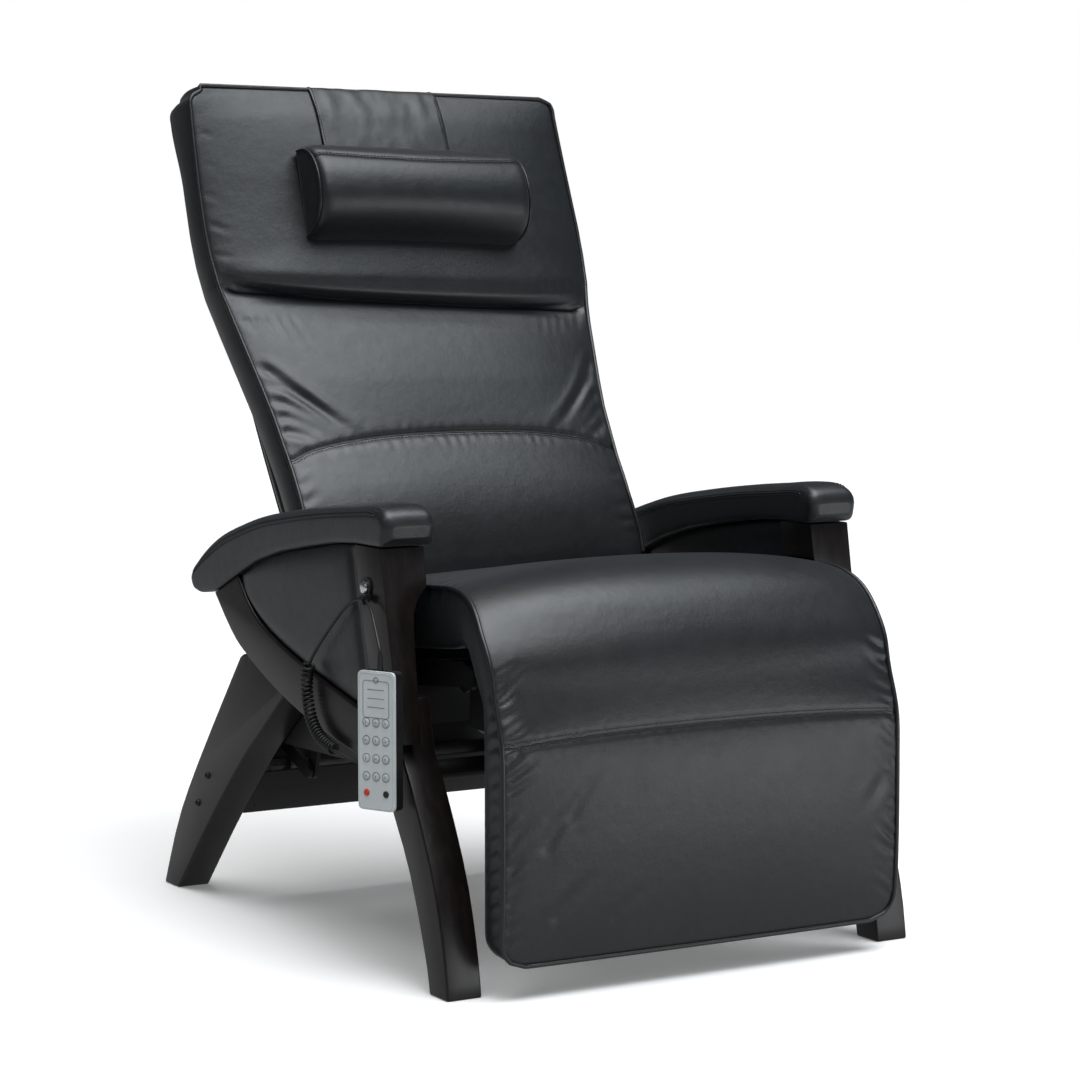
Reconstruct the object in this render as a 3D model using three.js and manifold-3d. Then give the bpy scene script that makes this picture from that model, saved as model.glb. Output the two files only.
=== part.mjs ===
// Powered zero gravity recliner: timber arm frames, a tilting seat, a reclining back,
// a lifting legrest, two linear actuators and a corded handset.
// Units are millimetres, +Z is up, the sitter faces -Y, and the sitter's right is -X.
import * as THREE from 'three';
import { mergeVertices } from 'three/addons/utils/BufferGeometryUtils.js';
import Module from 'manifold-3d';

const wasm = await Module();
wasm.setup();

// ---- Driving dimensions ------------------------------------------------------------

const GAP = 0.3;                       // clearance kept between touching pieces
const RIGHT = -1;
const LEFT = 1;

const ARM = { outer: 358, inner: 300, padOuter: 362, padInner: 287, underPad: 544.7 };
const LEG = { outer: 350, inner: 301 };
const PANEL = { outer: 356, inner: 302 };

const TILT_PIVOT = [-120, 368];        // seat on base, as [y, z]
const KNEE_PIVOT = [-335, 385];        // legrest on seat
const BACK_PIVOT = [135, 360];         // back on seat
const TILT_RANGE = 15;                 // degrees
const RECLINE_RANGE = 30;
const CRANK = 70;                      // back crank, from its pivot down to the link

const SEAT = { halfWidth: 284, front: -330, rear: 100 };
const LEGREST = { halfWidth: 291, top: 380 };
const RAIL_X = { inner: 272, outer: 278 };
const HEADREST_HALF_WIDTH = 300;
const LUMBAR_HALF_WIDTH = 262;

const TILT_ACTUATOR_X = 70;
const LEGREST_ACTUATOR_X = -70;
const CROSSBAR = { y: 250, z: 236, radius: 14 };

const HANDSET = {
  centre: [-388.5, -297, 311], azimuth: -65, width: 56, height: 174, thickness: 18, plate: 4,
};
const KEYS = { columns: 3, rows: 4, pitchX: 15, pitchY: 22.5, topRow: 23, radius: 4.2 };
const CORD_RADIUS = 2;
const COIL_RADIUS = 8.5;

// The origin is on the floor, at the middle of the footprint of everything but the cord.
const FOOTPRINT_CENTRE = [-19.5, 22];

// ---- Materials ---------------------------------------------------------------------

function finish(color, roughness, metalness = 0) {
  return () => new THREE.MeshStandardMaterial({ color, roughness, metalness });
}
const wood = finish(0x2b2423, 0.38);
const leather = finish(0x33373a, 0.46);
const steel = finish(0x1b1c1e, 0.5, 0.5);
const chrome = finish(0xc8ccd0, 0.2, 1);
const linedBoard = finish(0x1b1b1c, 0.85);
const blackPlastic = finish(0x151617, 0.5);
const silverPlastic = finish(0xbcc3c6, 0.35, 0.3);
const keyPlastic = finish(0xaeb6ba, 0.45);
const redPlastic = finish(0xd8402a, 0.4);
const rubber = finish(0x141414, 0.7);

// ---- Solids, meshes and joins ------------------------------------------------------

const model = new THREE.Group();

function place(name, geometry, material, parent = model) {
  const mesh = new THREE.Mesh(geometry, material());
  mesh.name = name;
  parent.add(mesh);
  return mesh;
}

function toSolid(geometry) {
  const bare = geometry.clone();
  bare.deleteAttribute('normal');
  bare.deleteAttribute('uv');
  const merged = mergeVertices(bare, 1e-4);
  return new wasm.Manifold(new wasm.Mesh({
    numProp: 3,
    vertProperties: new Float32Array(merged.attributes.position.array),
    triVerts: new Uint32Array(merged.index.array),
  }));
}

function toGeometry(solid) {
  const mesh = solid.getMesh();
  const geometry = new THREE.BufferGeometry();
  geometry.setAttribute('position', new THREE.BufferAttribute(mesh.vertProperties, 3));
  geometry.setIndex(new THREE.BufferAttribute(mesh.triVerts, 1));
  geometry.computeVertexNormals();
  return geometry;
}

const joined = (solids) => solids.reduce((whole, next) => whole.add(next));
const cut = (solid, tools) => tools.reduce((rest, tool) => rest.subtract(tool), solid);

// ---- Outlines ----------------------------------------------------------------------

const vector = ([a, b]) => new THREE.Vector2(a, b);

function smooth(points, steps) {
  return new THREE.SplineCurve(points.map(vector)).getPoints(steps).map((p) => [p.x, p.y]);
}

function bowed(corners, radius, steps = 3) {
  // Rounds every corner of a closed outline with a short arc of quadratic curves.
  const rounded = [];
  corners.forEach((corner, i) => {
    const here = vector(corner);
    const before = vector(corners.at(i - 1));
    const after = vector(corners[(i + 1) % corners.length]);
    const start = here.clone().add(before.sub(here).setLength(radius));
    const end = here.clone().add(after.sub(here).setLength(radius));
    const arc = new THREE.QuadraticBezierCurve(start, here, end);
    arc.getPoints(steps).forEach((p) => rounded.push([p.x, p.y]));
  });
  return rounded;
}

function capsule([y0, z0], [y1, z1], radius0, radius1 = radius0, steps = 6) {
  // A flat bar with round ends, from one point to another.
  const along = Math.atan2(z1 - z0, y1 - y0);
  const points = [];
  for (let i = 0; i <= steps; i += 1) {
    const a = along + Math.PI / 2 + (Math.PI * i) / steps;
    points.push([y0 + radius0 * Math.cos(a), z0 + radius0 * Math.sin(a)]);
  }
  for (let i = 0; i <= steps; i += 1) {
    const a = along - Math.PI / 2 + (Math.PI * i) / steps;
    points.push([y1 + radius1 * Math.cos(a), z1 + radius1 * Math.sin(a)]);
  }
  return points;
}

function turned([y, z], [cy, cz], degrees) {
  // Turns a side-view point so that the front rises and the top goes back.
  const a = THREE.MathUtils.degToRad(-degrees);
  const dy = y - cy;
  const dz = z - cz;
  return [cy + dy * Math.cos(a) - dz * Math.sin(a), cz + dy * Math.sin(a) + dz * Math.cos(a)];
}

// ---- Extrusions --------------------------------------------------------------------

const SIDE_VIEW = new THREE.Matrix4().makeBasis(
  new THREE.Vector3(0, 1, 0), new THREE.Vector3(0, 0, 1), new THREE.Vector3(1, 0, 0));
const FRONT_VIEW = new THREE.Matrix4().makeBasis(
  new THREE.Vector3(1, 0, 0), new THREE.Vector3(0, 0, 1), new THREE.Vector3(0, -1, 0));

function extruded(points, from, to, view, grow = 0) {
  const geometry = new THREE.ExtrudeGeometry(new THREE.Shape(points.map(vector)), {
    depth: to - from,
    bevelEnabled: grow > 0,
    bevelSize: grow,
    bevelThickness: grow,
    bevelSegments: 1,
  });
  geometry.translate(0, 0, from);
  return geometry.applyMatrix4(view);
}

function across(points, x0, x1, grow) {
  // Side outlines of [y, z] points run from one x to another.
  return extruded(points, Math.min(x0, x1), Math.max(x0, x1), SIDE_VIEW, grow);
}

function lengthways(points, y0, y1, grow) {
  // Front outlines of [x, z] points run from one y to another.
  return extruded(points, -y1, -y0, FRONT_VIEW, grow);
}

function plate(points, side, inner, outer, grow) {
  // A flat piece on one side of the chair, between two distances from the centre plane.
  return toSolid(across(points, side * inner, side * outer, grow));
}

function bar(x0, x1, [y, z], radius, sides = 16) {
  const geometry = new THREE.CylinderGeometry(radius, radius, Math.abs(x1 - x0), sides);
  geometry.rotateZ(Math.PI / 2);
  geometry.translate((x0 + x1) / 2, y, z);
  return toSolid(geometry);
}

// ---- Arm frames: legs, rails, posts, panels and pads --------------------------------

const padOutline = [
  ...smooth([[-262, 545.3], [-188, 545.3], [-127, 541], [31, 516], [104, 497], [159, 475], [233, 444]], 12),
  ...smooth([[281, 436], [300, 436], [317, 444], [322, 457], [298, 479], [218, 522], [89, 557],
    [-85, 582], [-240, 596], [-268, 591], [-277, 578], [-274, 558]], 20),
];

const railOutline = [
  ...smooth([[250, 452], [190, 397], [142, 368], [36, 326], [-85, 294], [-250, 265]], 14),
  ...smooth([[-250, 323], [-129, 350], [-29, 373], [74, 405], [130, 436], [175, 485]], 12),
];

const postOutline = [
  ...smooth([[-254, ARM.underPad], [-267, 470], [-286, 390], [-311, 305]], 7),
  ...smooth([[-243, 305], [-219, 391], [-197, 473], [-182, ARM.underPad]], 7),
];

function postWidthOutline(side) {
  const inside = smooth([[332, 300], [324, 400], [320, 455], [312, 478], [300, 492], [297, 500]], 9);
  const outline = [...inside, [297, 560], [ARM.outer, 560], [ARM.outer, 300]];
  return outline.map(([x, z]) => [side * x, z]);
}

const panelOutline = [
  [-242.2, 307], ...smooth([[-242.2, 307], [-218.2, 391], [-196.2, 473], [-181, 552]], 6).slice(1),
  [-100, 552], [60, 525], [180, 475], [150, 440], [74, 395], [-29, 362], [-129, 338], [-200, 320],
];

const frontLegOutline = [
  ...smooth([[-408, 0], [-396, 67], [-369, 151], [-318, 249], [-291, 292], [-276, 358]], 14),
  [-252, 358],
  ...smooth([[-228, 275], [-268, 211], [-311, 141], [-350, 44], [-361, 0]], 10),
];

const rearLegOutline = [
  ...smooth([[437, 0], [387, 100], [319, 192], [207, 323], [182, 352]], 10),
  ...smooth([[182, 352], [173, 361], [160, 365], [138, 368]], 4).slice(1),
  [120, 385],
  [20, 350],
  ...smooth([[46, 317], [115, 262], [174, 215], [282, 113], [390, 0]], 10),
];

function postSolid(side, grow) {
  const depth = toSolid(across(postOutline, side * 290, side * 365, grow));
  return depth.intersect(toSolid(lengthways(postWidthOutline(side), -330, -170, grow)));
}

function armFrame(side, name) {
  const pad = plate(padOutline, side, ARM.padInner, ARM.padOuter, GAP);
  const post = postSolid(side, GAP);
  const rail = plate(railOutline, side, ARM.inner, ARM.outer, GAP);
  const railPiece = cut(plate(railOutline, side, ARM.inner, ARM.outer), [pad, post]);
  const panelPiece = cut(plate(panelOutline, side, PANEL.inner, PANEL.outer), [pad, post, rail]);
  const frontLeg = cut(plate(frontLegOutline, side, LEG.inner, LEG.outer), [post, rail]);
  const rearLeg = cut(plate(rearLegOutline, side, LEG.inner, LEG.outer), [rail]);
  place(`front_leg_${name}`, toGeometry(frontLeg), wood);
  place(`rear_leg_${name}`, toGeometry(rearLeg), wood);
  place(`arm_rail_${name}`, toGeometry(railPiece), wood);
  place(`arm_post_${name}`, toGeometry(postSolid(side, 0)), wood);
  place(`arm_side_panel_${name}`, toGeometry(panelPiece), leather);
  place(`arm_pad_${name}`, across(padOutline, side * ARM.padInner, side * ARM.padOuter), leather);
}

// ---- Base cross members and pivot brackets ------------------------------------------

const linkEnd = [BACK_PIVOT[0], BACK_PIVOT[1] - CRANK];

function linkBasePivot(distance) {
  // The point on the base that stays equally far from the crank's end at both limits.
  const reclined = turned(turned(linkEnd, BACK_PIVOT, RECLINE_RANGE), TILT_PIVOT, TILT_RANGE);
  const dy = reclined[0] - linkEnd[0];
  const dz = reclined[1] - linkEnd[1];
  const span = Math.hypot(dy, dz);
  const middle = [(linkEnd[0] + reclined[0]) / 2, (linkEnd[1] + reclined[1]) / 2];
  return [middle[0] - (distance * dz) / span, middle[1] + (distance * dy) / span];
}

const LINK_PIVOT = linkBasePivot(90);
const ACTUATOR_PIVOT = [198, 240];
const TILT_CRANK_END = [TILT_PIVOT[0], TILT_PIVOT[1] - 110];
const LEGREST_ACTUATOR_PIVOT = [18, 320];
const LEGREST_CRANK_END = [KNEE_PIVOT[0] + 5, KNEE_PIVOT[1] - 70];

const CRANK_X = { inner: 236, outer: 242 };
const LINK_X = { inner: 244.5, outer: 250.5 };
const LINK_EAR_X = { inner: 252.5, outer: 258.5 };
const PIN = 6;

function crossBoard() {
  // Stands on the rear legs' slope, a little behind their front faces.
  const foot = [280.8, 115.8];
  const up = [-0.702, 0.712];
  const back = [0.712, 0.702];
  const local = [[0, 8], [0, 104], [22, 104], [22, 0], [8, 0]];
  const outline = local.map(
    ([b, u]) => [foot[0] + b * back[0] + u * up[0], foot[1] + b * back[1] + u * up[1]]);
  place('rear_cross_board', across(outline, -(LEG.inner - 0.5), LEG.inner - 0.5), wood);
}

function rearCrossbar() {
  const axis = [CROSSBAR.y, CROSSBAR.z];
  const parts = [bar(-(LEG.inner - 0.5), LEG.inner - 0.5, axis, CROSSBAR.radius, 20)];
  for (const side of [RIGHT, LEFT]) {
    parts.push(plate(capsule(axis, LINK_PIVOT, 12, 10), side, LINK_EAR_X.inner, LINK_EAR_X.outer));
    parts.push(bar(side * LINK_X.inner, side * LINK_EAR_X.outer, LINK_PIVOT, PIN));
    const ear = TILT_ACTUATOR_X + side * 14;
    parts.push(toSolid(across(capsule(axis, ACTUATOR_PIVOT, 11, 11), ear - 2.5, ear + 2.5)));
  }
  parts.push(bar(TILT_ACTUATOR_X - 14, TILT_ACTUATOR_X + 14, ACTUATOR_PIVOT, PIN));
  const apron = [[229, 201.5], [231.5, 201.5], [245, 262], [242.5, 262]];
  parts.push(toSolid(across(apron, -(LEG.inner - 0.5), LEG.inner - 0.5)));
  place('rear_crossbar', toGeometry(joined(parts)), steel);
}

function frontCrossbar() {
  const geometry = new THREE.CylinderGeometry(13, 13, 2 * LEG.inner - 1, 20);
  const mesh = place('front_crossbar', geometry, steel);
  mesh.rotation.z = Math.PI / 2;
  mesh.position.set(0, -268, 262);
}

function pivotBracket(side, name) {
  // A long side plate inside the rail, cut away at the front where the cord comes out.
  const outline = [[-248, 318], [-246, 287], [-150, 287], [-140, 246], [215, 238], [196, 330],
    [120, 386], [-165, 388]];
  const body = plate(bowed(outline, 10), side, 293.5, 299.5);
  const hole = bar(side * 290, side * 302, TILT_PIVOT, 10 + GAP, 20);
  place(`pivot_bracket_${name}`, toGeometry(body.subtract(hole)), steel);
}

// ---- Seat: frame, shaft, deck and cushion -------------------------------------------

const deckUnder = (y) => 366 + ((SEAT.rear - y) / (SEAT.rear - SEAT.front)) * 42;

function seatFrame() {
  const parts = [];
  const railFront = -322;
  const railRear = 118;
  for (const side of [RIGHT, LEFT]) {
    const outline = [
      [railRear, deckUnder(railRear) - 2], [railFront, deckUnder(railFront) - 2],
      [railFront, deckUnder(railFront) - 34], [railRear, deckUnder(railRear) - 34],
    ];
    let rail = plate(outline, side, RAIL_X.inner, RAIL_X.outer);
    rail = rail.add(plate(capsule([-310, 388], KNEE_PIVOT, 14), side, RAIL_X.inner, RAIL_X.outer));
    rail = rail.add(plate(capsule([105, 347], BACK_PIVOT, 14), side, RAIL_X.inner, RAIL_X.outer));
    parts.push(cut(rail, [KNEE_PIVOT, BACK_PIVOT].map(
      (pivot) => bar(side * (RAIL_X.inner - 2), side * (RAIL_X.outer + 2), pivot, PIN + GAP))));
  }
  const tubes = [-285, -165, 60];
  tubes.forEach((y) => parts.push(bar(-RAIL_X.inner - 3, RAIL_X.inner + 3, [y, deckUnder(y) - 20], 11)));
  const middle = [-165, deckUnder(-165) - 20];
  const rear = [60, deckUnder(60) - 20];
  for (const offset of [-14, 14]) {
    const tilt = TILT_ACTUATOR_X + offset;
    parts.push(toSolid(across(capsule(middle, TILT_CRANK_END, 14, 11), tilt - 2.5, tilt + 2.5)));
    const lift = LEGREST_ACTUATOR_X + offset;
    parts.push(toSolid(across(capsule(rear, LEGREST_ACTUATOR_PIVOT, 12, 11), lift - 2.5, lift + 2.5)));
  }
  parts.push(bar(LEGREST_ACTUATOR_X - 14, LEGREST_ACTUATOR_X + 14, LEGREST_ACTUATOR_PIVOT, PIN));
  // A cross plate hangs from the rear tube and leaves a notch for the tilt actuator.
  const crossPlate = [[66, 262], [68.5, 262], [68.5, 352], [66, 352]];
  parts.push(toSolid(across(crossPlate, -230, TILT_ACTUATOR_X - 34)));
  parts.push(toSolid(across(crossPlate, TILT_ACTUATOR_X + 34, 230)));
  const shaftHole = bar(-300, 300, TILT_PIVOT, 10 + GAP, 20);
  place('seat_frame', toGeometry(joined(parts).subtract(shaftHole)), steel);
}

function seatShaft() {
  const mesh = place('seat_pivot_shaft', new THREE.CylinderGeometry(10, 10, 598, 20), chrome);
  mesh.rotation.z = Math.PI / 2;
  mesh.position.set(0, ...TILT_PIVOT);
}

function seatDeckAndCushion() {
  const deck = [
    [SEAT.rear, deckUnder(SEAT.rear)], [SEAT.front + 6, deckUnder(SEAT.front + 6)],
    [SEAT.front + 6, deckUnder(SEAT.front + 6) + 12], [SEAT.rear, deckUnder(SEAT.rear) + 12],
  ];
  place('seat_deck', across(deck, -255, 255), linedBoard);
  const under = (y) => deckUnder(y) + 12.5;
  const cushion = [
    [SEAT.front, under(SEAT.front)],
    [SEAT.rear - 8, under(SEAT.rear - 8)],
    ...smooth([[SEAT.rear, under(SEAT.rear) + 14], [SEAT.rear, 436], [SEAT.rear - 14, 452]], 5),
    ...smooth([[40, 462], [-100, 480], [-230, 496], [SEAT.front, 504]], 6),
  ];
  place('seat_cushion', across(cushion, -SEAT.halfWidth, SEAT.halfWidth), leather);
  const roll = [
    ...smooth([[-330.5, 504], [-356, 501], [-392, 478], [-422, 434], [-437, 380.5]], 10),
    ...smooth([[-392, 380.5], [-376, 412], [-330.5, 432]], 5),
  ];
  place('knee_roll', across(roll, -SEAT.halfWidth, SEAT.halfWidth), leather);
}

// ---- Legrest ------------------------------------------------------------------------

function legrest() {
  const cushion = [
    ...smooth([[-440, LEGREST.top], [-455, 330], [-464, 260], [-464, 140], [-460, 84]], 8),
    ...smooth([[-460, 84], [-452, 56], [-436, 46], [-420, 46], [-410, 62]], 5).slice(1),
    [-410, 368], [-396, LEGREST.top],
  ];
  place('legrest_cushion', across(cushion, -LEGREST.halfWidth, LEGREST.halfWidth), leather);
  const board = [[-409.5, 64], [-397.5, 64], [-397.5, 360], [-409.5, 360]];
  place('legrest_board', across(board, -265, 265), linedBoard);
  const parts = [toSolid(across([[-397, 330], [-389, 330], [-389, 352], [-397, 352]], -262, 262))];
  parts.push(toSolid(across([[-397, 110], [-389, 110], [-389, 140], [-397, 140]], -262, 262)));
  for (const side of [RIGHT, LEFT]) {
    parts.push(plate([[-397, 112], [-389, 112], [-375, 160], [-375, 340], [-389, 352], [-397, 352]],
      side, 256, 262));
    parts.push(plate(capsule([-384, 335], KNEE_PIVOT, 12, 14), side, 256, 262));
    parts.push(bar(side * 257, side * (RAIL_X.outer + 1), KNEE_PIVOT, PIN));
  }
  for (const offset of [-14, 14]) {
    const x = LEGREST_ACTUATOR_X + offset;
    parts.push(toSolid(across(capsule([-386, 338], LEGREST_CRANK_END, 11, 11), x - 2.5, x + 2.5)));
  }
  place('legrest_frame', toGeometry(joined(parts)), steel);
}

// ---- Back ---------------------------------------------------------------------------

// Front line of the back at its piped edge, from the seat to the top.
const backLine = new THREE.SplineCurve([
  [112, 440], [128, 490], [155, 560], [193, 620], [232, 680], [281, 760], [322, 830],
  [353, 900], [378, 980], [399, 1060], [419, 1135],
].map(vector));

function backPoint(t, depth) {
  // A point at a share of the back's length, and a depth behind its front line.
  const point = backLine.getPointAt(t);
  const along = backLine.getTangentAt(t);
  return [point.x + depth * along.y, point.y - depth * along.x];
}

function backRun(depth, from, to, steps) {
  return Array.from({ length: steps + 1 }, (_, i) => {
    const t = from + ((to - from) * i) / steps;
    return backPoint(t, typeof depth === 'function' ? depth(t) : depth);
  });
}

const backStrip = (front, rear, from, to, steps) => [
  ...backRun(front, from, to, steps), ...backRun(rear, to, from, steps)];

function backHalfWidth(z) {
  const share = THREE.MathUtils.smoothstep(z, 610, 880);
  return THREE.MathUtils.lerp(LUMBAR_HALF_WIDTH, HEADREST_HALF_WIDTH, share);
}

function backCushion() {
  // Thinner at the foot, where the frame's arms pass, and thicker above the rear panel.
  const { smoothstep } = THREE.MathUtils;
  const rear = (t) => 42 + 16 * smoothstep(t, 0, 0.08) + 24 * smoothstep(t, 0.86, 0.95);
  const outline = backStrip(-8, rear, 0, 1, 16);
  const geometry = across(outline, -1, 1);
  const position = geometry.attributes.position;
  for (let i = 0; i < position.count; i += 1) {
    position.setX(i, position.getX(i) * backHalfWidth(position.getZ(i)));
  }
  geometry.computeVertexNormals();
  place('back_cushion', geometry, leather);
}

function backPanel() {
  place('back_panel', across(backStrip(80, 104, 0.02, 0.82, 14), -250, 250), leather);
}

function backFrame() {
  const parts = [];
  for (const side of [RIGHT, LEFT]) {
    parts.push(plate(backStrip(60, 78, 0.02, 0.8, 12), side, 218, CRANK_X.outer));
    const low = backPoint(0.04, 70);
    parts.push(plate(capsule(low, BACK_PIVOT, 7, 12), side, CRANK_X.inner, CRANK_X.outer));
    parts.push(plate(capsule(BACK_PIVOT, linkEnd, 16, 11), side, CRANK_X.inner, CRANK_X.outer));
    parts.push(bar(side * CRANK_X.inner, side * (RAIL_X.outer + 1), BACK_PIVOT, PIN));
  }
  for (const t of [0.08, 0.4, 0.76]) {
    parts.push(toSolid(across(backStrip(60, 78, t - 0.02, t + 0.02, 1), -220, 220)));
  }
  place('back_frame', toGeometry(joined(parts)), steel);
}

// ---- Head pillow and its strap ------------------------------------------------------

function headPillow() {
  const centre = backPoint(0.787, -57);
  const lean = Math.atan2(...backLine.getTangentAt(0.787).toArray());
  const outline = Array.from({ length: 16 }, (_, i) => {
    const a = (2 * Math.PI * i) / 16;
    return turned([centre[0] + 39 * Math.cos(a), centre[1] + 70 * Math.sin(a)], centre,
      THREE.MathUtils.radToDeg(lean));
  });
  place('head_pillow', across(outline, -164, 176), leather);
}

function pillowStrap() {
  const thickness = 3;
  const front = backRun(-9, 0.84, 0.97, 4);
  const path = [
    ...front,
    ...smooth([backPoint(1, -8.8), [430, 1150], [456, 1146], [488, 1134], [506, 1116]], 8),
    ...backRun(84, 0.97, 0.84, 4),
  ];
  const curve = new THREE.SplineCurve(path.map(vector));
  const steps = 26;
  const side = (offset) => Array.from({ length: steps + 1 }, (_, i) => {
    const p = curve.getPointAt(i / steps);
    const d = curve.getTangentAt(i / steps);
    return [p.x - offset * d.y, p.y + offset * d.x];
  });
  const outline = [...side(0), ...side(thickness).reverse()];
  place('pillow_strap', across(outline, -119, 89), leather);
}

// ---- Actuators and links ------------------------------------------------------------

function actuatorSolids(reach, bodyLength) {
  // Along local +X from the rear pin to the rod's eye; the motor hangs below the tube.
  // The rod's pin is fixed in its eye and stops just short of the ears on either side.
  const axial = (x0, x1, z, radius, sides) => bar(x0, x1, [0, z], radius, sides);
  const crosswise = (x, radius, length) => {
    const cylinder = new THREE.CylinderGeometry(radius, radius, length, 16);
    return toSolid(cylinder.translate(x, 0, 0));
  };
  const tube = axial(15, bodyLength, 0, 18, 20);
  const gearbox = toSolid(new THREE.BoxGeometry(56, 50, 74).translate(58, 0, -16));
  const motor = axial(40, 150, -40, 24, 20);
  const bore = axial(bodyLength - 130, bodyLength + 5, 0, 9 + GAP, 16);
  const body = joined([tube, gearbox, motor, axial(0, 20, 0, 9), crosswise(0, 11, 18)]);
  const housing = cut(body, [bore, crosswise(0, PIN + GAP, 60)]);
  const rod = joined([
    axial(bodyLength - 125, reach - 4, 0, 9, 16), crosswise(reach, 11, 18), crosswise(reach, PIN, 22.2),
  ]);
  return { housing, rod };
}

function actuator(name, x, rearPin, rodPin, bodyLength) {
  const dy = rodPin[0] - rearPin[0];
  const dz = rodPin[1] - rearPin[1];
  const { housing, rod } = actuatorSolids(Math.hypot(dy, dz), bodyLength);
  const group = new THREE.Group();
  const forward = new THREE.Vector3(0, dy, dz).normalize();
  const sideways = new THREE.Vector3(1, 0, 0);
  const upward = new THREE.Vector3().crossVectors(forward, sideways);
  group.quaternion.setFromRotationMatrix(new THREE.Matrix4().makeBasis(forward, sideways, upward));
  group.position.set(x, ...rearPin);
  model.add(group);
  place(`${name}_housing`, toGeometry(housing), blackPlastic, group);
  place(`${name}_rod`, toGeometry(rod), chrome, group);
}

function backLink(side, name) {
  const body = plate(capsule(LINK_PIVOT, linkEnd, 11), side, LINK_X.inner, LINK_X.outer);
  const holes = [LINK_PIVOT, linkEnd].map(
    (point) => bar(side * (LINK_X.inner - 2), side * (LINK_X.outer + 2), point, PIN + GAP));
  place(`back_link_${name}`, toGeometry(cut(body, holes)), steel);
}

// ---- Control box, cord and handset --------------------------------------------------

function controlBox() {
  // The box hangs on the right side plate, with a power inlet in its rear face.
  const outline = bowed([[-140, 268], [-20, 268], [-20, 308], [-140, 308]], 6);
  const recess = toSolid(new THREE.BoxGeometry(22, 30, 20).translate(-277.5, -20, 288));
  const tongue = toSolid(new THREE.BoxGeometry(14, 26, 9).translate(-277.5, -35, 288));
  const box = toSolid(across(outline, -293.2, -262)).subtract(recess).add(tongue);
  place('control_box', toGeometry(box), blackPlastic);
  const gland = place('cord_gland', new THREE.CylinderGeometry(3.5, 6, 14, 16), rubber);
  gland.rotation.x = Math.PI;
  gland.position.set(-281, -147.5, 284);
}

function tube(points, radius, sides, steps) {
  const section = new THREE.Shape(Array.from({ length: sides }, (_, i) => {
    const a = (2 * Math.PI * i) / sides;
    return new THREE.Vector2(radius * Math.cos(a), radius * Math.sin(a));
  }));
  const extrudePath = new THREE.CatmullRomCurve3(points.map((p) => new THREE.Vector3(...p)));
  return new THREE.ExtrudeGeometry(section, { extrudePath, steps });
}

const tailRoute = [
  [-281, -155, 284], [-281, -166, 283], [-288, -180, 275], [-303, -188, 266],
  [-325, -189, 261], [-347, -183, 262], [-362, -170, 269], [-368.5, -158, 275.5],
];
const coilRoute = [
  [-370, -150, 277.5], [-370.5, -139, 279.5], [-371, -106, 290], [-371, -84, 309],
  [-371, -72, 337], [-370.5, -71, 362], [-370, -78, 383],
];
const leadRoute = [
  [-369.6, -80, 386], [-369, -92, 398], [-368.5, -112, 416], [-368, -138, 437],
  [-367.5, -174, 463], [-367, -200, 475], [-367, -225, 478.5], [-369, -246, 470],
  [-374, -266, 452], [-378, -282, 436], [-380.1, -291, 425], [-380.3, -293.1, 419.4],
];

function cord() {
  place('handset_cord_tail', tube(tailRoute, CORD_RADIUS, 8, 14), rubber);
  place('handset_cord_coil', tube(coilRoute, COIL_RADIUS, 12, 14), rubber);
  place('handset_cord_lead', tube(leadRoute, CORD_RADIUS, 8, 30), rubber);
}

function snapTab() {
  const stud = [-216, 493];
  const washer = bar(-ARM.outer - GAP, -ARM.outer - 3, stud, 13, 20);
  const strap = toSolid(across([[-229, 480], [-221, 480], [-208, 493], [-224, 500]],
    -ARM.outer - GAP, -ARM.outer - 3));
  const loop = new THREE.CylinderGeometry(6, 6, 10, 16).translate(-367, -225, 478.5);
  const passage = new THREE.CylinderGeometry(3.6, 3.6, 30, 16).translate(-367, -225, 478.5);
  const bridge = toSolid(new THREE.BoxGeometry(5, 8, 6).translate(-361, -225, 481));
  const tab = joined([washer, strap, bridge, toSolid(loop)]).subtract(toSolid(passage));
  place('cord_tab', toGeometry(tab), rubber);
  const profile = [[0, 0], [9, 0], [9, 1.5], [7, 3.4], [4, 4.4], [0, 4.8]].map(vector);
  const head = place('snap_stud', new THREE.LatheGeometry(profile, 20), chrome);
  head.rotation.z = Math.PI / 2;
  head.position.set(-ARM.outer - 3 - GAP, ...stud);
}

function roundedRectangle(width, height, radius) {
  const w = width / 2;
  const h = height / 2;
  return new THREE.Shape(bowed([[-w, -h], [w, -h], [w, h], [-w, h]], radius, 4).map(vector));
}

function keyGeometry(radius) {
  const { plate: thickness } = HANDSET;
  const flange = radius + 1.2;
  const profile = [
    [0, -thickness - 2.3], [flange, -thickness - 2.3], [flange, -thickness - GAP],
    [radius, -thickness - GAP], [radius, 0.7], [radius - 0.7, 1.3], [0, 1.5],
  ];
  return new THREE.LatheGeometry(profile.map(vector), 16).rotateX(Math.PI / 2);
}

function keyLayout() {
  const keys = [];
  for (let row = 0; row < KEYS.rows; row += 1) {
    for (let column = 0; column < KEYS.columns; column += 1) {
      const number = String(row * KEYS.columns + column + 1).padStart(2, '0');
      const x = (column - 1) * KEYS.pitchX;
      const y = KEYS.topRow - row * KEYS.pitchY;
      keys.push({ name: `handset_key_${number}`, x, y, material: keyPlastic });
    }
  }
  const bottom = KEYS.topRow - KEYS.rows * KEYS.pitchY + 1.5;
  keys.push({ name: 'handset_key_red', x: -KEYS.pitchX, y: bottom, material: redPlastic });
  keys.push({ name: 'handset_key_black', x: KEYS.pitchX, y: bottom, material: blackPlastic });
  return keys;
}

function slab(outline, depth, from) {
  const geometry = new THREE.ExtrudeGeometry(outline, { depth, bevelEnabled: false });
  return toSolid(geometry.translate(0, 0, from));
}

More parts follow.
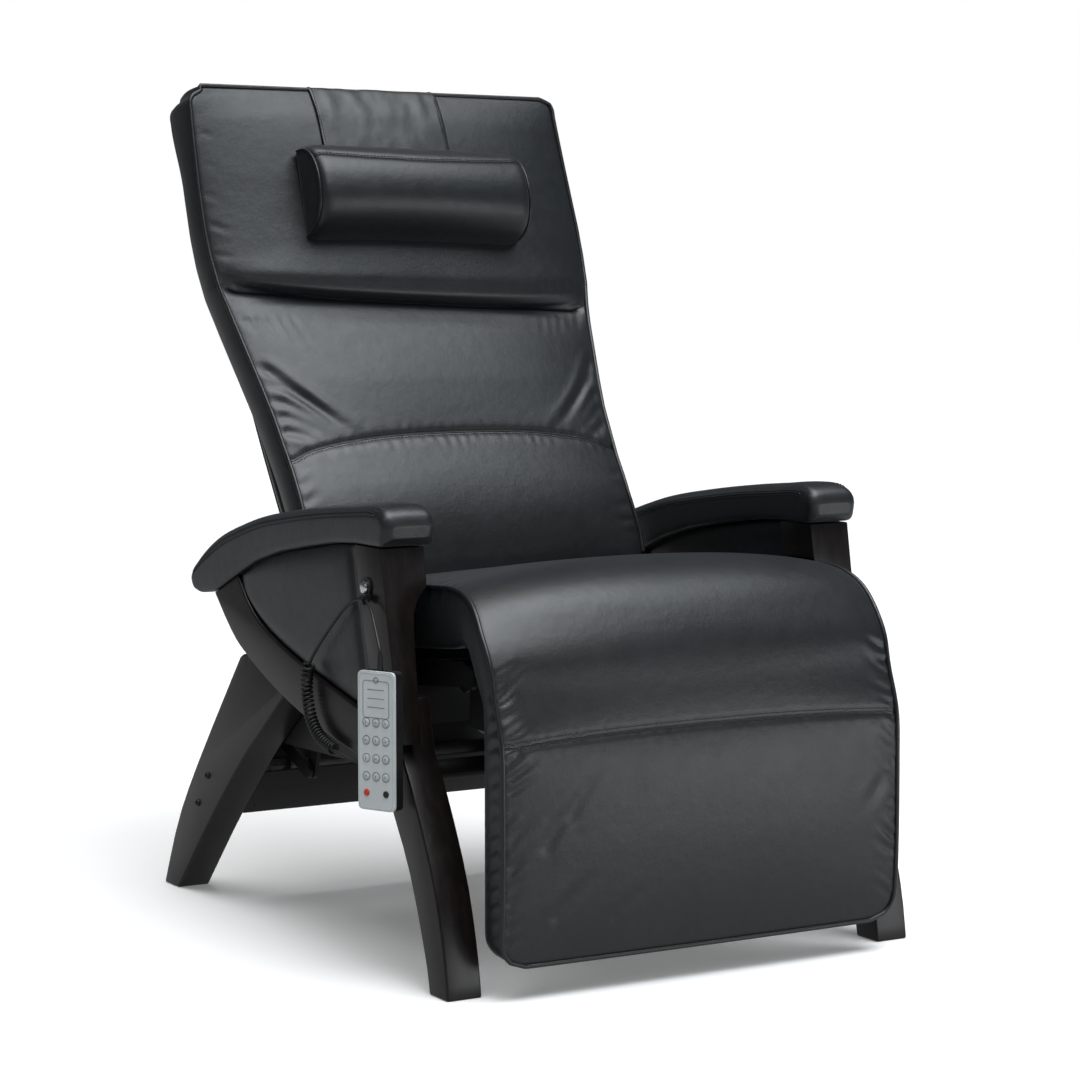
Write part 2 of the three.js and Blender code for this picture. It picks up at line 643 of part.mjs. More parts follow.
function handset() {
  const { width, height, thickness, plate: skin } = HANDSET;
  const azimuth = THREE.MathUtils.degToRad(HANDSET.azimuth);
  const facing = new THREE.Vector3(Math.sin(azimuth), -Math.cos(azimuth), 0);
  const upward = new THREE.Vector3(0, 0, 1);
  const sideways = new THREE.Vector3().crossVectors(upward, facing);
  const group = new THREE.Group();
  group.quaternion.setFromRotationMatrix(new THREE.Matrix4().makeBasis(sideways, upward, facing));
  group.position.set(...HANDSET.centre);
  model.add(group);

  const keys = keyLayout();
  const face = roundedRectangle(width, height, 7);
  const wells = keys.map(({ x, y }) => {
    const well = new THREE.CylinderGeometry(KEYS.radius + GAP, KEYS.radius + GAP, 20, 16);
    return toSolid(well.rotateX(Math.PI / 2).translate(x, y, 0));
  });
  place('handset_front', toGeometry(cut(slab(face, skin, -skin), wells)), silverPlastic, group);

  const depth = thickness - skin - GAP;
  const hollow = roundedRectangle(width - 5, height - 5, 5);
  const shell = slab(face, depth, -thickness).subtract(slab(hollow, depth, 2.5 - thickness));
  place('handset_back', toGeometry(shell), blackPlastic, group);

  for (const { name, x, y, material } of keys) {
    const key = place(name, keyGeometry(KEYS.radius), material, group);
    key.position.set(x, y, 0);
  }
  const relief = place('cord_relief', new THREE.CylinderGeometry(3, 4.2, 20, 16), rubber, group);
  relief.position.set(0, height / 2 + 10 + GAP, -thickness / 2);
}

// ---- Assembly -----------------------------------------------------------------------

for (const [side, name] of [[RIGHT, 'right'], [LEFT, 'left']]) {
  armFrame(side, name);
  pivotBracket(side, name);
  backLink(side, name);
}
crossBoard();
rearCrossbar();
frontCrossbar();
seatFrame();
seatShaft();
seatDeckAndCushion();
legrest();
backCushion();
backPanel();
backFrame();
headPillow();
pillowStrap();
actuator('tilt_actuator', TILT_ACTUATOR_X, ACTUATOR_PIVOT, TILT_CRANK_END, 210);
actuator('legrest_actuator', LEGREST_ACTUATOR_X, LEGREST_ACTUATOR_PIVOT, LEGREST_CRANK_END, 220);
controlBox();
cord();
snapTab();
handset();

model.position.set(-FOOTPRINT_CENTRE[0], -FOOTPRINT_CENTRE[1], 0);
const recliner = new THREE.Group();
recliner.add(model);

export default recliner;
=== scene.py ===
import math
import random

import bmesh
import bpy
import numpy as np
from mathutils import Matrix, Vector, noise
from mathutils.bvhtree import BVHTree
from mathutils.kdtree import KDTree


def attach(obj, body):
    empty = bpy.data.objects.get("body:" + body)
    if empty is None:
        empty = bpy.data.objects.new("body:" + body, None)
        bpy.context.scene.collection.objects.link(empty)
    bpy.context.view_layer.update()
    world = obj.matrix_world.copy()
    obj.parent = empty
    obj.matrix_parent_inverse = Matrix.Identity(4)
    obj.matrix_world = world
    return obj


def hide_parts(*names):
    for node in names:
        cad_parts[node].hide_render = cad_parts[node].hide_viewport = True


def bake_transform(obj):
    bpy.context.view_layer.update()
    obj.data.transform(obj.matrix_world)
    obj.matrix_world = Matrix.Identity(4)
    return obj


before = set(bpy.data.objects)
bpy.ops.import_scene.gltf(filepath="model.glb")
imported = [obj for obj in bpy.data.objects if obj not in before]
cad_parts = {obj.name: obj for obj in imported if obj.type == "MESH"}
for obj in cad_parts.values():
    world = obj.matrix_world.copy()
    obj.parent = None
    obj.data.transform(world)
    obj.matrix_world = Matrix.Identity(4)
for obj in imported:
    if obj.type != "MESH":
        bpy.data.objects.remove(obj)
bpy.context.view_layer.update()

# ---- Coordinates --------------------------------------------------------------------
# Shapes are written in millimetres about the chair's centre plane, front at -Y.

SHIFT = np.array([19.5, -22.0, 0.0])
RIGHT, LEFT = -1, 1


def metres(points):
    return (np.asarray(points, float) + SHIFT) / 1000.0


def smoothstep(x, low, high):
    t = np.clip((np.asarray(x, float) - low) / (high - low), 0, 1)
    return t * t * (3 - 2 * t)


def between(t, low, high, first, last):
    """A point that moves straight from the first to the last as t goes from low to high."""
    return (high - t) / (high - low) * first + (t - low) / (high - low) * last


def spline(points, count):
    """Points at even distances along a centripetal curve through the given ones."""
    p = np.asarray(points, float)
    p = np.vstack([2 * p[0] - p[1], p, 2 * p[-1] - p[-2]])
    dense = []
    for i in range(1, len(p) - 2):
        knots = [0.0]
        for k in range(3):
            step = np.linalg.norm(p[i + k] - p[i + k - 1]) ** 0.5
            knots.append(knots[-1] + max(step, 1e-6))
        t0, t1, t2, t3 = knots
        t = np.linspace(t1, t2, 24, endpoint=False)[:, None]
        a1 = between(t, t0, t1, p[i - 1], p[i])
        a2 = between(t, t1, t2, p[i], p[i + 1])
        a3 = between(t, t2, t3, p[i + 1], p[i + 2])
        b1 = between(t, t0, t2, a1, a2)
        b2 = between(t, t1, t3, a2, a3)
        dense.append(between(t, t1, t2, b1, b2))
    dense = np.vstack(dense + [p[-2][None, :]])
    return resample(dense, count)


def resample(points, count):
    points = np.asarray(points, float)
    lengths = np.r_[0, np.cumsum(np.linalg.norm(np.diff(points, axis=0), axis=1))]
    wanted = np.linspace(0, lengths[-1], count)
    return np.column_stack([np.interp(wanted, lengths, column) for column in points.T])


def path_length(points):
    return float(np.linalg.norm(np.diff(np.asarray(points, float), axis=0), axis=1).sum())


def point_at(line, share):
    """The point at a share of an evenly sampled line."""
    place = share * (len(line) - 1)
    return np.array([np.interp(place, range(len(line)), column) for column in line.T])


def directions(line):
    """The unit vector along a line at each of its points."""
    along = np.gradient(line, axis=0)
    return along / np.linalg.norm(along, axis=1)[:, None]


def sides_along(along, side):
    """Two directions across a line at each of its points, which don't twist about it."""
    for forward in along:
        side = side - forward * np.dot(side, forward)
        side /= np.linalg.norm(side)
        yield side, np.cross(forward, side)


# ---- Camera -------------------------------------------------------------------------

camera_data = bpy.data.cameras.new("camera")
camera_data.lens = 107.05
camera_data.sensor_width = 36.0
camera_data.clip_end = 60.0
camera = bpy.data.objects.new("camera", camera_data)
camera.location = metres([-2215.4, -3780.3, 946.2])
camera.rotation_euler = (math.radians(84.4), 0.0, math.radians(-30.63))
bpy.context.scene.collection.objects.link(camera)
bpy.context.scene.camera = camera


# ---- Mesh helpers -------------------------------------------------------------------

def make_mesh(name, points, faces, material, body, slot="upholstery"):
    """A piece from points in chair millimetres."""
    data = bpy.data.meshes.new(name)
    data.from_pydata([tuple(p) for p in metres(points)], [], faces)
    data.validate()
    if material:
        data.materials.append(material)
    data.shade_smooth()
    obj = bpy.data.objects.new(name, data)
    bpy.context.scene.collection.objects.link(obj)
    outward(obj)
    if body:
        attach(obj, body)
    return obj


def outward(obj):
    work = bmesh.new()
    work.from_mesh(obj.data)
    bmesh.ops.recalc_face_normals(work, faces=work.faces)
    work.to_mesh(obj.data)
    work.free()


def tube(points, radius, sides=8, closed=False):
    """Points and faces of a round tube along a line, with flat caps if it is open."""
    line = np.asarray(points, float)
    count = len(line)
    if closed:
        along = np.roll(line, -1, axis=0) - np.roll(line, 1, axis=0)
        along /= np.linalg.norm(along, axis=1)[:, None]
    else:
        along = directions(line)
    start = [1.0, 0, 0] if abs(along[0][0]) < 0.8 else [0, 0, 1.0]
    rings = []
    for centre, (side, other) in zip(line, sides_along(along, np.cross(along[0], start))):
        for k in range(sides):
            a = 2 * math.pi * k / sides
            rings.append(centre + radius * (math.cos(a) * side + math.sin(a) * other))
    faces = []
    for i in range(count if closed else count - 1):
        here = i * sides
        there = ((i + 1) % count) * sides
        for k in range(sides):
            n = (k + 1) % sides
            faces.append((here + k, there + k, there + n, here + n))
    if not closed:
        faces.append(tuple(range(sides)))
        faces.append(tuple((count - 1) * sides + k for k in reversed(range(sides))))
    return rings, faces


def gathered(parts):
    """Joins several (points, faces) into one."""
    points, faces = [], []
    for more_points, more_faces in parts:
        base = len(points)
        points.extend(more_points)
        faces.extend(tuple(i + base for i in face) for face in more_faces)
    return points, faces


# ---- Handset cord -------------------------------------------------------------------

CORD_RADIUS = 2.0
COIL_RADIUS = 8.5
COIL_TURNS = 26
POINTS_PER_TURN = 14

TAIL_ROUTE = [
    [-281, -155, 284], [-281, -166, 283], [-288, -180, 275], [-303, -188, 266],
    [-325, -189, 261], [-347, -183, 262], [-362, -170, 269], [-368.5, -158, 275.5],
]
COIL_ROUTE = [
    [-370, -150, 277.5], [-370.5, -139, 279.5], [-371, -106, 290], [-371, -84, 309],
    [-371, -72, 337], [-370.5, -71, 362], [-370, -78, 383],
]
LEAD_ROUTE = [
    [-369.6, -80, 386], [-369, -92, 398], [-368.5, -112, 416], [-368, -138, 437],
    [-367.5, -174, 463], [-367, -200, 475], [-367, -225, 478.5], [-369, -246, 470],
    [-374, -266, 452], [-378, -282, 436], [-380.1, -291, 425], [-380.3, -293.1, 419.4],
]


def helix(route, radius, turns, per_turn):
    """A curly cord about a route: its turns start and end on the route itself."""
    count = turns * per_turn + 1
    line = spline(route, count)
    along = directions(line)
    ease = 0.6 * per_turn
    points = []
    for i, (side, other) in enumerate(sides_along(along, np.cross(along[0], [0.0, 0.0, 1.0]))):
        reach = radius * min(1.0, i / ease, (count - 1 - i) / ease)
        angle = 2 * math.pi * i / per_turn
        points.append(line[i] + reach * (math.cos(angle) * side + math.sin(angle) * other))
    return np.array(points)


def eased_joins(points, joins, reach=9, passes=14):
    """The line with the places where two runs meet smoothed out."""
    line = np.array(points)
    for _ in range(passes):
        for join in joins:
            low, high = join - reach, join + reach
            line[low:high] = (line[low - 1:high - 1] + 2 * line[low:high] + line[low + 1:high + 1]) / 4
    return line


tail_run = spline(TAIL_ROUTE, 40)
coil_run = helix(COIL_ROUTE, COIL_RADIUS - CORD_RADIUS, COIL_TURNS, POINTS_PER_TURN)
lead_run = spline(LEAD_ROUTE, 140)
cord_points = eased_joins(np.vstack([tail_run, coil_run, lead_run]),
                          [len(tail_run), len(tail_run) + len(coil_run)])
cord_shape = tube(cord_points, CORD_RADIUS, 10)
cord = make_mesh("handset_cord", *cord_shape, None, "base", "black_rubber")
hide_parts("handset_cord_tail", "handset_cord_coil", "handset_cord_lead")
metres([-281, -154.6, 284])
path_length(cord_points) / 1000.0
metres(cord_points)


# ---- Materials ----------------------------------------------------------------------

class Nodes:
    """A small helper to build a node material."""

    def __init__(self, name):
        self.material = bpy.data.materials.new(name)
        self.material.use_nodes = True
        self.tree = self.material.node_tree
        self.shader = self.tree.nodes["Principled BSDF"]

    def add(self, kind, **values):
        node = self.tree.nodes.new(kind)
        for key, value in values.items():
            if key in node.inputs:
                node.inputs[key].default_value = value
            else:
                setattr(node, key, value)
        return node

    def link(self, source, target):
        self.tree.links.new(source, target)

    def place(self, scale=(1, 1, 1)):
        coordinates = self.add("ShaderNodeTexCoord")
        mapping = self.add("ShaderNodeMapping")
        mapping.inputs["Scale"].default_value = scale
        self.link(coordinates.outputs["Object"], mapping.inputs["Vector"])
        return mapping.outputs["Vector"]

    def noise(self, vector, scale, detail=3.0, roughness=0.55):
        node = self.add("ShaderNodeTexNoise", Scale=scale, Detail=detail, Roughness=roughness)
        self.link(vector, node.inputs["Vector"])
        return node.outputs["Fac"]

    def ramp(self, value, stops):
        node = self.add("ShaderNodeValToRGB")
        ramp = node.color_ramp
        while len(ramp.elements) < len(stops):
            ramp.elements.new(0.5)
        for element, (position, color) in zip(ramp.elements, stops):
            element.position = position
            element.color = (*color, 1.0)
        self.link(value, node.inputs["Fac"])
        return node.outputs["Color"]

    def spread(self, value, low, high):
        node = self.add("ShaderNodeMapRange")
        node.inputs["To Min"].default_value = low
        node.inputs["To Max"].default_value = high
        self.link(value, node.inputs["Value"])
        return node.outputs["Result"]

    def bump(self, height, distance, strength, below=None):
        node = self.add("ShaderNodeBump", Distance=distance, Strength=strength)
        self.link(height, node.inputs["Height"])
        if below is not None:
            self.link(below, node.inputs["Normal"])
        return node.outputs["Normal"]


def leather_material(name, dark, light, roughness=(0.36, 0.5)):
    m = Nodes(name)
    vector = m.place()
    cloud = m.noise(vector, 9.0, 4.0)
    m.link(m.ramp(cloud, [(0.3, dark), (0.7, light)]), m.shader.inputs["Base Color"])
    wear = m.noise(vector, 40.0, 3.0)
    m.link(m.spread(wear, *roughness), m.shader.inputs["Roughness"])
    pebbles = m.add("ShaderNodeTexVoronoi", Scale=620.0, feature="DISTANCE_TO_EDGE")
    m.link(vector, pebbles.inputs["Vector"])
    pores = m.noise(vector, 1400.0, 2.0)
    creases = m.noise(vector, 55.0, 5.0, 0.6)
    normal = m.bump(pebbles.outputs["Distance"], 0.0006, 0.28)
    normal = m.bump(pores, 0.0003, 0.2, normal)
    normal = m.bump(creases, 0.0018, 0.3, normal)
    m.link(normal, m.shader.inputs["Normal"])
    m.shader.inputs["Specular IOR Level"].default_value = 0.58
    m.shader.inputs["Sheen Weight"].default_value = 0.06
    m.shader.inputs["Sheen Roughness"].default_value = 0.4
    m.shader.inputs["Sheen Tint"].default_value = (0.8, 0.88, 1.0, 1.0)
    return m.material


def wood_material(name, along):
    """Dark stained timber with its grain along one axis."""
    m = Nodes(name)
    scale = {"x": (3, 60, 60), "y": (60, 3, 60), "z": (60, 60, 3)}[along]
    vector = m.place(scale)
    streaks = m.noise(vector, 1.6, 8.0, 0.62)
    stain = [(0.25, (0.0042, 0.003, 0.0029)), (0.5, (0.0085, 0.006, 0.0056)),
             (0.78, (0.017, 0.0118, 0.0105))]
    m.link(m.ramp(streaks, stain), m.shader.inputs["Base Color"])
    m.link(m.spread(streaks, 0.26, 0.4), m.shader.inputs["Roughness"])
    m.link(m.bump(streaks, 0.0007, 0.12), m.shader.inputs["Normal"])
    m.shader.inputs["Specular IOR Level"].default_value = 0.36
    m.shader.inputs["Coat Weight"].default_value = 0.08
    m.shader.inputs["Coat Roughness"].default_value = 0.25
    return m.material


def plain_material(name, dark, light, roughness, metallic=0.0, scale=300.0, depth=0.0002):
    """Moulded, painted or plated material with a fine surface."""
    m = Nodes(name)
    vector = m.place()
    cloud = m.noise(vector, 30.0, 3.0)
    m.link(m.ramp(cloud, [(0.3, dark), (0.7, light)]), m.shader.inputs["Base Color"])
    m.link(m.spread(cloud, roughness * 0.85, roughness * 1.15), m.shader.inputs["Roughness"])
    fine = m.noise(vector, scale, 2.0)
    m.link(m.bump(fine, depth, 0.2), m.shader.inputs["Normal"])
    m.shader.inputs["Metallic"].default_value = metallic
    return m.material


# Each plain material's dark and light tone, roughness, and what differs from the usual surface.
LEATHER = leather_material("leather", (0.0058, 0.0069, 0.0079), (0.0098, 0.0114, 0.0128), (0.33, 0.45))
PIPING = leather_material(
    "leather_piping", (0.0045, 0.005, 0.0055), (0.0075, 0.0083, 0.009), (0.3, 0.42))
THREAD = plain_material("thread", (0.008, 0.009, 0.01), (0.016, 0.018, 0.02), 0.6, scale=900.0)
WOOD_UP = wood_material("stained_wood_upright", "z")
WOOD_LONG = wood_material("stained_wood_lengthways", "y")
WOOD_CROSS = wood_material("stained_wood_crosswise", "x")
STEEL = plain_material("black_steel", (0.0045, 0.0046, 0.0048), (0.008, 0.0082, 0.0085), 0.5)
CHROME = plain_material(
    "bright_steel", (0.62, 0.64, 0.66), (0.75, 0.77, 0.8), 0.16, 1.0, depth=0.00005)
LINED_BOARD = plain_material(
    "lined_board", (0.006, 0.006, 0.0065), (0.01, 0.01, 0.0105), 0.85, scale=700.0)
BLACK_PLASTIC = plain_material(
    "black_plastic", (0.008, 0.0085, 0.009), (0.013, 0.0135, 0.014), 0.4)
RUBBER = plain_material("black_rubber", (0.006, 0.006, 0.0065), (0.011, 0.011, 0.012), 0.5)
SILVER = plain_material(
    "silver_plastic", (0.66, 0.71, 0.72), (0.74, 0.79, 0.8), 0.36, 0.05, depth=0.00005)
KEY_GREY = plain_material(
    "grey_keys", (0.54, 0.59, 0.61), (0.62, 0.67, 0.69), 0.4, depth=0.00005)
KEY_RED = plain_material("red_key", (0.62, 0.045, 0.02), (0.74, 0.065, 0.03), 0.35, depth=0.00005)
PRINT = plain_material("key_marks", (0.12, 0.13, 0.135), (0.18, 0.195, 0.2), 0.5, depth=0.00002)

NODE_MATERIALS = {
    "front_leg": WOOD_UP, "rear_leg": WOOD_UP, "arm_post": WOOD_UP, "arm_rail": WOOD_LONG,
    "rear_cross_board": WOOD_CROSS, "rear_crossbar": STEEL, "front_crossbar": STEEL,
    "pivot_bracket": STEEL, "back_link": STEEL, "seat_frame": STEEL, "back_frame": STEEL,
    "legrest_frame": STEEL, "seat_pivot_shaft": CHROME, "seat_deck": LINED_BOARD,
    "legrest_board": LINED_BOARD, "tilt_actuator_housing": BLACK_PLASTIC,
    "legrest_actuator_housing": BLACK_PLASTIC, "tilt_actuator_rod": CHROME,
    "legrest_actuator_rod": CHROME, "control_box": BLACK_PLASTIC, "cord_gland": RUBBER,
    "cord_tab": RUBBER, "cord_relief": RUBBER, "snap_stud": CHROME, "handset_front": SILVER,
    "handset_back": BLACK_PLASTIC, "handset_key_red": KEY_RED, "handset_key_black": BLACK_PLASTIC,
    "handset_key": KEY_GREY,
}


def node_material(name):
    fits = [key for key in NODE_MATERIALS if name.startswith(key)]
    return NODE_MATERIALS[max(fits, key=len)] if fits else LEATHER


for node_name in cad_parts:
    for material_slot in bpy.data.objects[node_name].material_slots:
        material_slot.material = node_material(node_name)
cord.data.materials.append(RUBBER)


# ---- Covers -------------------------------------------------------------------------

class Shell:
    """A closed box of quads, bent into shape by a function of (across, along, depth)."""

    def __init__(self, cells, shape):
        self.cells = cells
        nu, nv, nw = cells
        self.index = {}
        self.points = []
        for i in range(nu + 1):
            for j in range(nv + 1):
                for k in range(nw + 1):
                    if i in (0, nu) or j in (0, nv) or k in (0, nw):
                        self.index[i, j, k] = len(self.points)
                        self.points.append(shape(2 * i / nu - 1, j / nv, k / nw))
        self.points = np.array(self.points)
        self.faces = []
        for first, second, fixed in ((0, 1, 2), (1, 2, 0), (0, 2, 1)):
            for a in range(cells[first]):
                for b in range(cells[second]):
                    for end in (0, cells[fixed]):
                        self.faces.append(self.quad({first: a, second: b, fixed: end}, first, second))

    def quad(self, low, first, second):
        """The face from a low corner, one cell wide in two of the directions."""
        corners = []
        for step_first, step_second in ((0, 0), (1, 0), (1, 1), (0, 1)):
            cell = dict(low)
            cell[first] += step_first
            cell[second] += step_second
            corners.append(self.index[cell[0], cell[1], cell[2]])
        return tuple(corners)

    def numbers(self, cells):
        return [self.index[cell] for cell in cells]

    def row(self, cells):
        return self.points[self.numbers(cells)]


def places(mesh):
    return np.array([vertex.co for vertex in mesh.vertices])


def settle(obj, pinned, pressure, cap, bending, frames=20):
    """Swells a cover between its seams with the cloth solver, and keeps the result as its mesh."""
    before = places(obj.data)
    group = obj.vertex_groups.new(name="seams")
    group.add([int(i) for i in pinned], 1.0, "REPLACE")
    cloth = obj.modifiers.new("cloth", "CLOTH")
    cloth.settings.quality = 6
    cloth.settings.mass = 0.4
    cloth.settings.tension_stiffness = 25
    cloth.settings.compression_stiffness = 25
    cloth.settings.shear_stiffness = 12
    cloth.settings.bending_stiffness = bending
    cloth.settings.tension_damping = 12
    cloth.settings.air_damping = 4
    cloth.settings.use_pressure = True
    cloth.settings.uniform_pressure_force = pressure
    cloth.settings.vertex_group_mass = "seams"
    cloth.settings.effector_weights.gravity = 0
    cloth.collision_settings.use_collision = False
    cloth.collision_settings.use_self_collision = False
    cloth.point_cache.frame_start = 1
    cloth.point_cache.frame_end = frames
    scene = bpy.context.scene
    for number in range(1, frames + 1):
        scene.frame_set(number)
    depsgraph = bpy.context.evaluated_depsgraph_get()
    after = places(obj.evaluated_get(depsgraph).data)
    obj.modifiers.clear()
    scene.frame_set(1)
    move = after - before
    length = np.linalg.norm(move, axis=1)
    limit = cap / 1000.0
    eased = limit * np.tanh(length / limit) / np.maximum(length, 1e-9)
    scale = np.where(length > 1e-9, eased, 1.0)
    after = before + move * scale[:, None]
    obj.data.vertices.foreach_set("co", after.ravel())
    obj.vertex_groups.clear()
    obj.data.update()


def subdivide(obj, levels=1):
    modifier = obj.modifiers.new("smooth", "SUBSURF")
    modifier.levels = levels
    modifier.render_levels = levels
    bake_modifiers(obj)


def bake_modifiers(obj):
    depsgraph = bpy.context.evaluated_depsgraph_get()
    mesh = bpy.data.meshes.new_from_object(obj.evaluated_get(depsgraph))
    obj.modifiers.clear()
    old = obj.data
    obj.data = mesh
    name = old.name
    bpy.data.meshes.remove(old)
    mesh.name = name
    mesh.shade_smooth()


def surface(*objs):
    """A search tree over the pieces, in chair millimetres."""
    points, faces = [], []
    for obj in objs:
        base = len(points)
        points.extend(places(obj.data) * 1000.0 - SHIFT)
        faces.extend([base + i for i in p.vertices] for p in obj.data.polygons)
    return BVHTree.FromPolygons([Vector(p) for p in points], faces)


def on_surface(tree, points, lift):
    """Each point moved to the nearest point on the surface, and lifted off it."""
    found = []
    for point in points:
        place, normal, _, _ = tree.find_nearest(Vector(point))
        if (Vector(point) - place).dot(normal) < 0 and (Vector(point) - place).length > 40:
            normal = -normal
        found.append(np.array(place + normal * lift))
    return np.array(found)


def stitches(tree, line, offset, pitch=5.2, length=3.5, radius=0.55):
    """Short raised threads beside a seam line, lying on the surface."""
    line = np.asarray(line, float)
    count = max(4, int(path_length(line) / pitch))
    path = resample(line, count)
    parts = []
    for point, forward in zip(path, directions(path)):
        place, normal, _, _ = tree.find_nearest(Vector(point))
        side = np.cross(forward, np.array(normal))
        side /= max(np.linalg.norm(side), 1e-6)
        centre = np.array(place) + side * offset
        half = forward * length / 2
        ends = on_surface(tree, [centre - half, centre, centre + half], 0.25)
        parts.append(tube(ends, radius, 5))
    return gathered(parts)


def topstitch(name, tree, lines, body, offsets=(-4.2, 4.2)):
    parts = [stitches(tree, line, offset) for line in lines for offset in offsets]
    return make_mesh(name, *gathered(parts), THREAD, body)


def fold(view, start, end, width, depth, bow=0.0):
    """One wrinkle, drawn in a view of the cover as its ends in millimetres."""
    return view, np.array(start, float), np.array(end, float), width, depth, bow


VIEWS = {
    "front": ((0, 2), (0.0, -1.0, 0.0)), "top": ((0, 1), (0.0, 0.0, 1.0)),
    "right": ((1, 2), (-1.0, 0.0, 0.0)), "left": ((1, 2), (1.0, 0.0, 0.0)),
}


def press_folds(obj, folds):
    """Presses each wrinkle into the cover as a groove with a low ridge on either side."""
    mesh = obj.data
    place = np.empty(len(mesh.vertices) * 3)
    normal = np.empty(len(mesh.vertices) * 3)
    mesh.vertices.foreach_get("co", place)
    mesh.vertices.foreach_get("normal", normal)
    place = place.reshape(-1, 3) * 1000.0 - SHIFT
    normal = normal.reshape(-1, 3)
    push = np.zeros(len(place))
    for view, start, end, width, depth, bow in folds:
        axes, facing = VIEWS[view]
        flat = place[:, axes] - start
        run = end - start
        length = np.linalg.norm(run)
        run = run / length
        along = flat @ run / length
        aside = flat @ np.array([-run[1], run[0]]) - 4 * bow * along * (1 - along)
        ridge = 0.4 * np.exp(-((np.abs(aside) - 1.9 * width) / width) ** 2)
        taper = smoothstep(along, 0.0, 0.14) * (1 - smoothstep(along, 0.3, 1.0))
        seen = smoothstep(normal @ np.array(facing), 0.15, 0.55)
        push += depth * taper * seen * (ridge - np.exp(-(aside / width) ** 2))
    place = place + normal * push[:, None]
    mesh.vertices.foreach_set("co", metres(place).ravel())
    mesh.update()


def press_seam(obj, line, width=5.0, depth=2.4):
    """Draws the cover in along a sewn line."""
    tree = KDTree(len(line))
    for number, point in enumerate(metres(line)):
        tree.insert(Vector(point), number)
    tree.balance()
    for vertex in obj.data.vertices:
        away = tree.find(vertex.co)[2] * 1000.0
        if away < 3 * width:
            vertex.co -= vertex.normal * (depth / 1000.0 * math.exp(-(away / width) ** 2))
    obj.data.update()


def seam_puckers(line, spacing, depth):
    """Short gathers on either side of a sewn line, seen from the front."""
    marks = resample(line, int(path_length(line) / spacing))[1:-1]
    folds = []
    for x, _, z in marks:
        for up in (-1, 1):
            foot = [x + chance.uniform(-4, 4), z + up]
            tip = [foot[0] + chance.uniform(-7, 7), foot[1] + up * chance.uniform(12, 26)]
            folds.append(fold("front", foot, tip, 4.4, depth * chance.uniform(0.3, 1.0)))
    return folds


def wave(point, seed, size):
    """A soft random value between -1 and 1."""
    scaled = Vector((point[0] / size + seed * 7.3, point[1] / size - seed * 3.1, point[2] / size + seed))
    return noise.noise(scaled)


def corner_inset(distance, radius):
    """How far a side stands in, at a distance from an end that has rounded corners."""
    if distance >= radius:
        return 0.0
    return radius - math.sqrt(max(0.0, radius ** 2 - (radius - distance) ** 2))


# ---- The back's line ----------------------------------------------------------------

BACK_LINE = spline([
    [112, 440], [128, 490], [155, 560], [193, 620], [232, 680], [281, 760], [322, 830],
    [353, 900], [378, 980], [399, 1060], [419, 1135],
], 600)
BACK_LENGTH = path_length(BACK_LINE)
BACK_ALONG = directions(BACK_LINE)


def back_point(distance, depth):
    """The [y, z] at a distance up the back's front line, and a depth behind it."""
    share = np.clip(distance / BACK_LENGTH, 0, 1)
    y, z = point_at(BACK_LINE, share)
    dy, dz = point_at(BACK_ALONG, share)
    over = distance - np.clip(distance, 0, BACK_LENGTH)
    return np.array([y + depth * dz + over * dy, z - depth * dy + over * dz])


def back_distance(height):
    return float(np.interp(height, BACK_LINE[:, 1], np.linspace(0, BACK_LENGTH, len(BACK_LINE))))


# Heights, and the back's half width there.
BACK_WIDTHS = [
    [440, 268], [500, 270], [560, 263], [610, 263], [680, 268], [720, 274], [760, 281],
    [800, 288], [830, 294], [860, 301], [900, 305], [940, 306], [1000, 304], [1060, 301],
    [1100, 299], [1135, 296],
]


def back_half_width(height):
    heights, widths = np.array(BACK_WIDTHS, float).T
    return float(np.interp(height, heights, widths))


# ---- Back cushion -------------------------------------------------------------------

CREASE = back_distance(840)
SEAM_MIDDLE = back_distance(645)
SEAM_EDGE = back_distance(622)
TOP = BACK_LENGTH

SEAM_SHARE = 0.30           # the lumbar seam's share of the cushion's rows
CREASE_SHARE = 0.585        # the crease's share of them

# Rows up the cushion's middle: share of the rows, distance up the back, depth behind it.
MIDDLE_PROFILE = [
    [0.00, 0, -2], [0.06, 40, -12], [0.15, 105, -17], [0.28, SEAM_MIDDLE - 14, -19],
    [SEAM_SHARE, SEAM_MIDDLE, -16], [0.32, SEAM_MIDDLE + 14, -19], [0.42, SEAM_MIDDLE + 85, -25],
    [0.50, CREASE - 60, -23], [0.545, CREASE - 26, -14], [0.57, CREASE - 12, 2],
    [CREASE_SHARE, CREASE - 4, 16], [0.60, CREASE - 12, 4], [0.62, CREASE - 19, -12],
    [0.65, CREASE - 12, -29], [0.69, CREASE + 14, -37], [0.76, CREASE + 80, -36],
    [0.86, CREASE + 180, -29], [0.94, TOP - 42, -18], [0.98, TOP - 12, -7], [1.00, TOP, 0],
]
EDGE_PROFILE = [
    [0.00, 0, 0], [0.15, 105, 0], [SEAM_SHARE, SEAM_EDGE, 0], [0.50, CREASE - 70, 0],
    [CREASE_SHARE, CREASE - 4, 0], [0.69, CREASE + 40, 0], [0.86, CREASE + 185, 0], [1.00, TOP, 0],
]
CREASE_SKEW = 20.0          # how far the crease rises on the right and drops on the left
CREASE_LIFT = 6.0           # how far all of the crease is raised
CORNER_RISE = 9.0           # how much higher the headrest's right corner stands
HEADREST_SHIFT = 9.0        # how far the headrest's top stands over to the right
TOP_CORNER = 26.0           # radius of the headrest's upper corners
TOP_FLARE = 8.0             # how far those corners stand out again at the very top
TOP_CROWN = 4.0
BACK_BULGE = 5.0            # how far the cushion's sides swell between front and rear
REAR_DEPTH = 53.0           # how far the cushion reaches behind its line
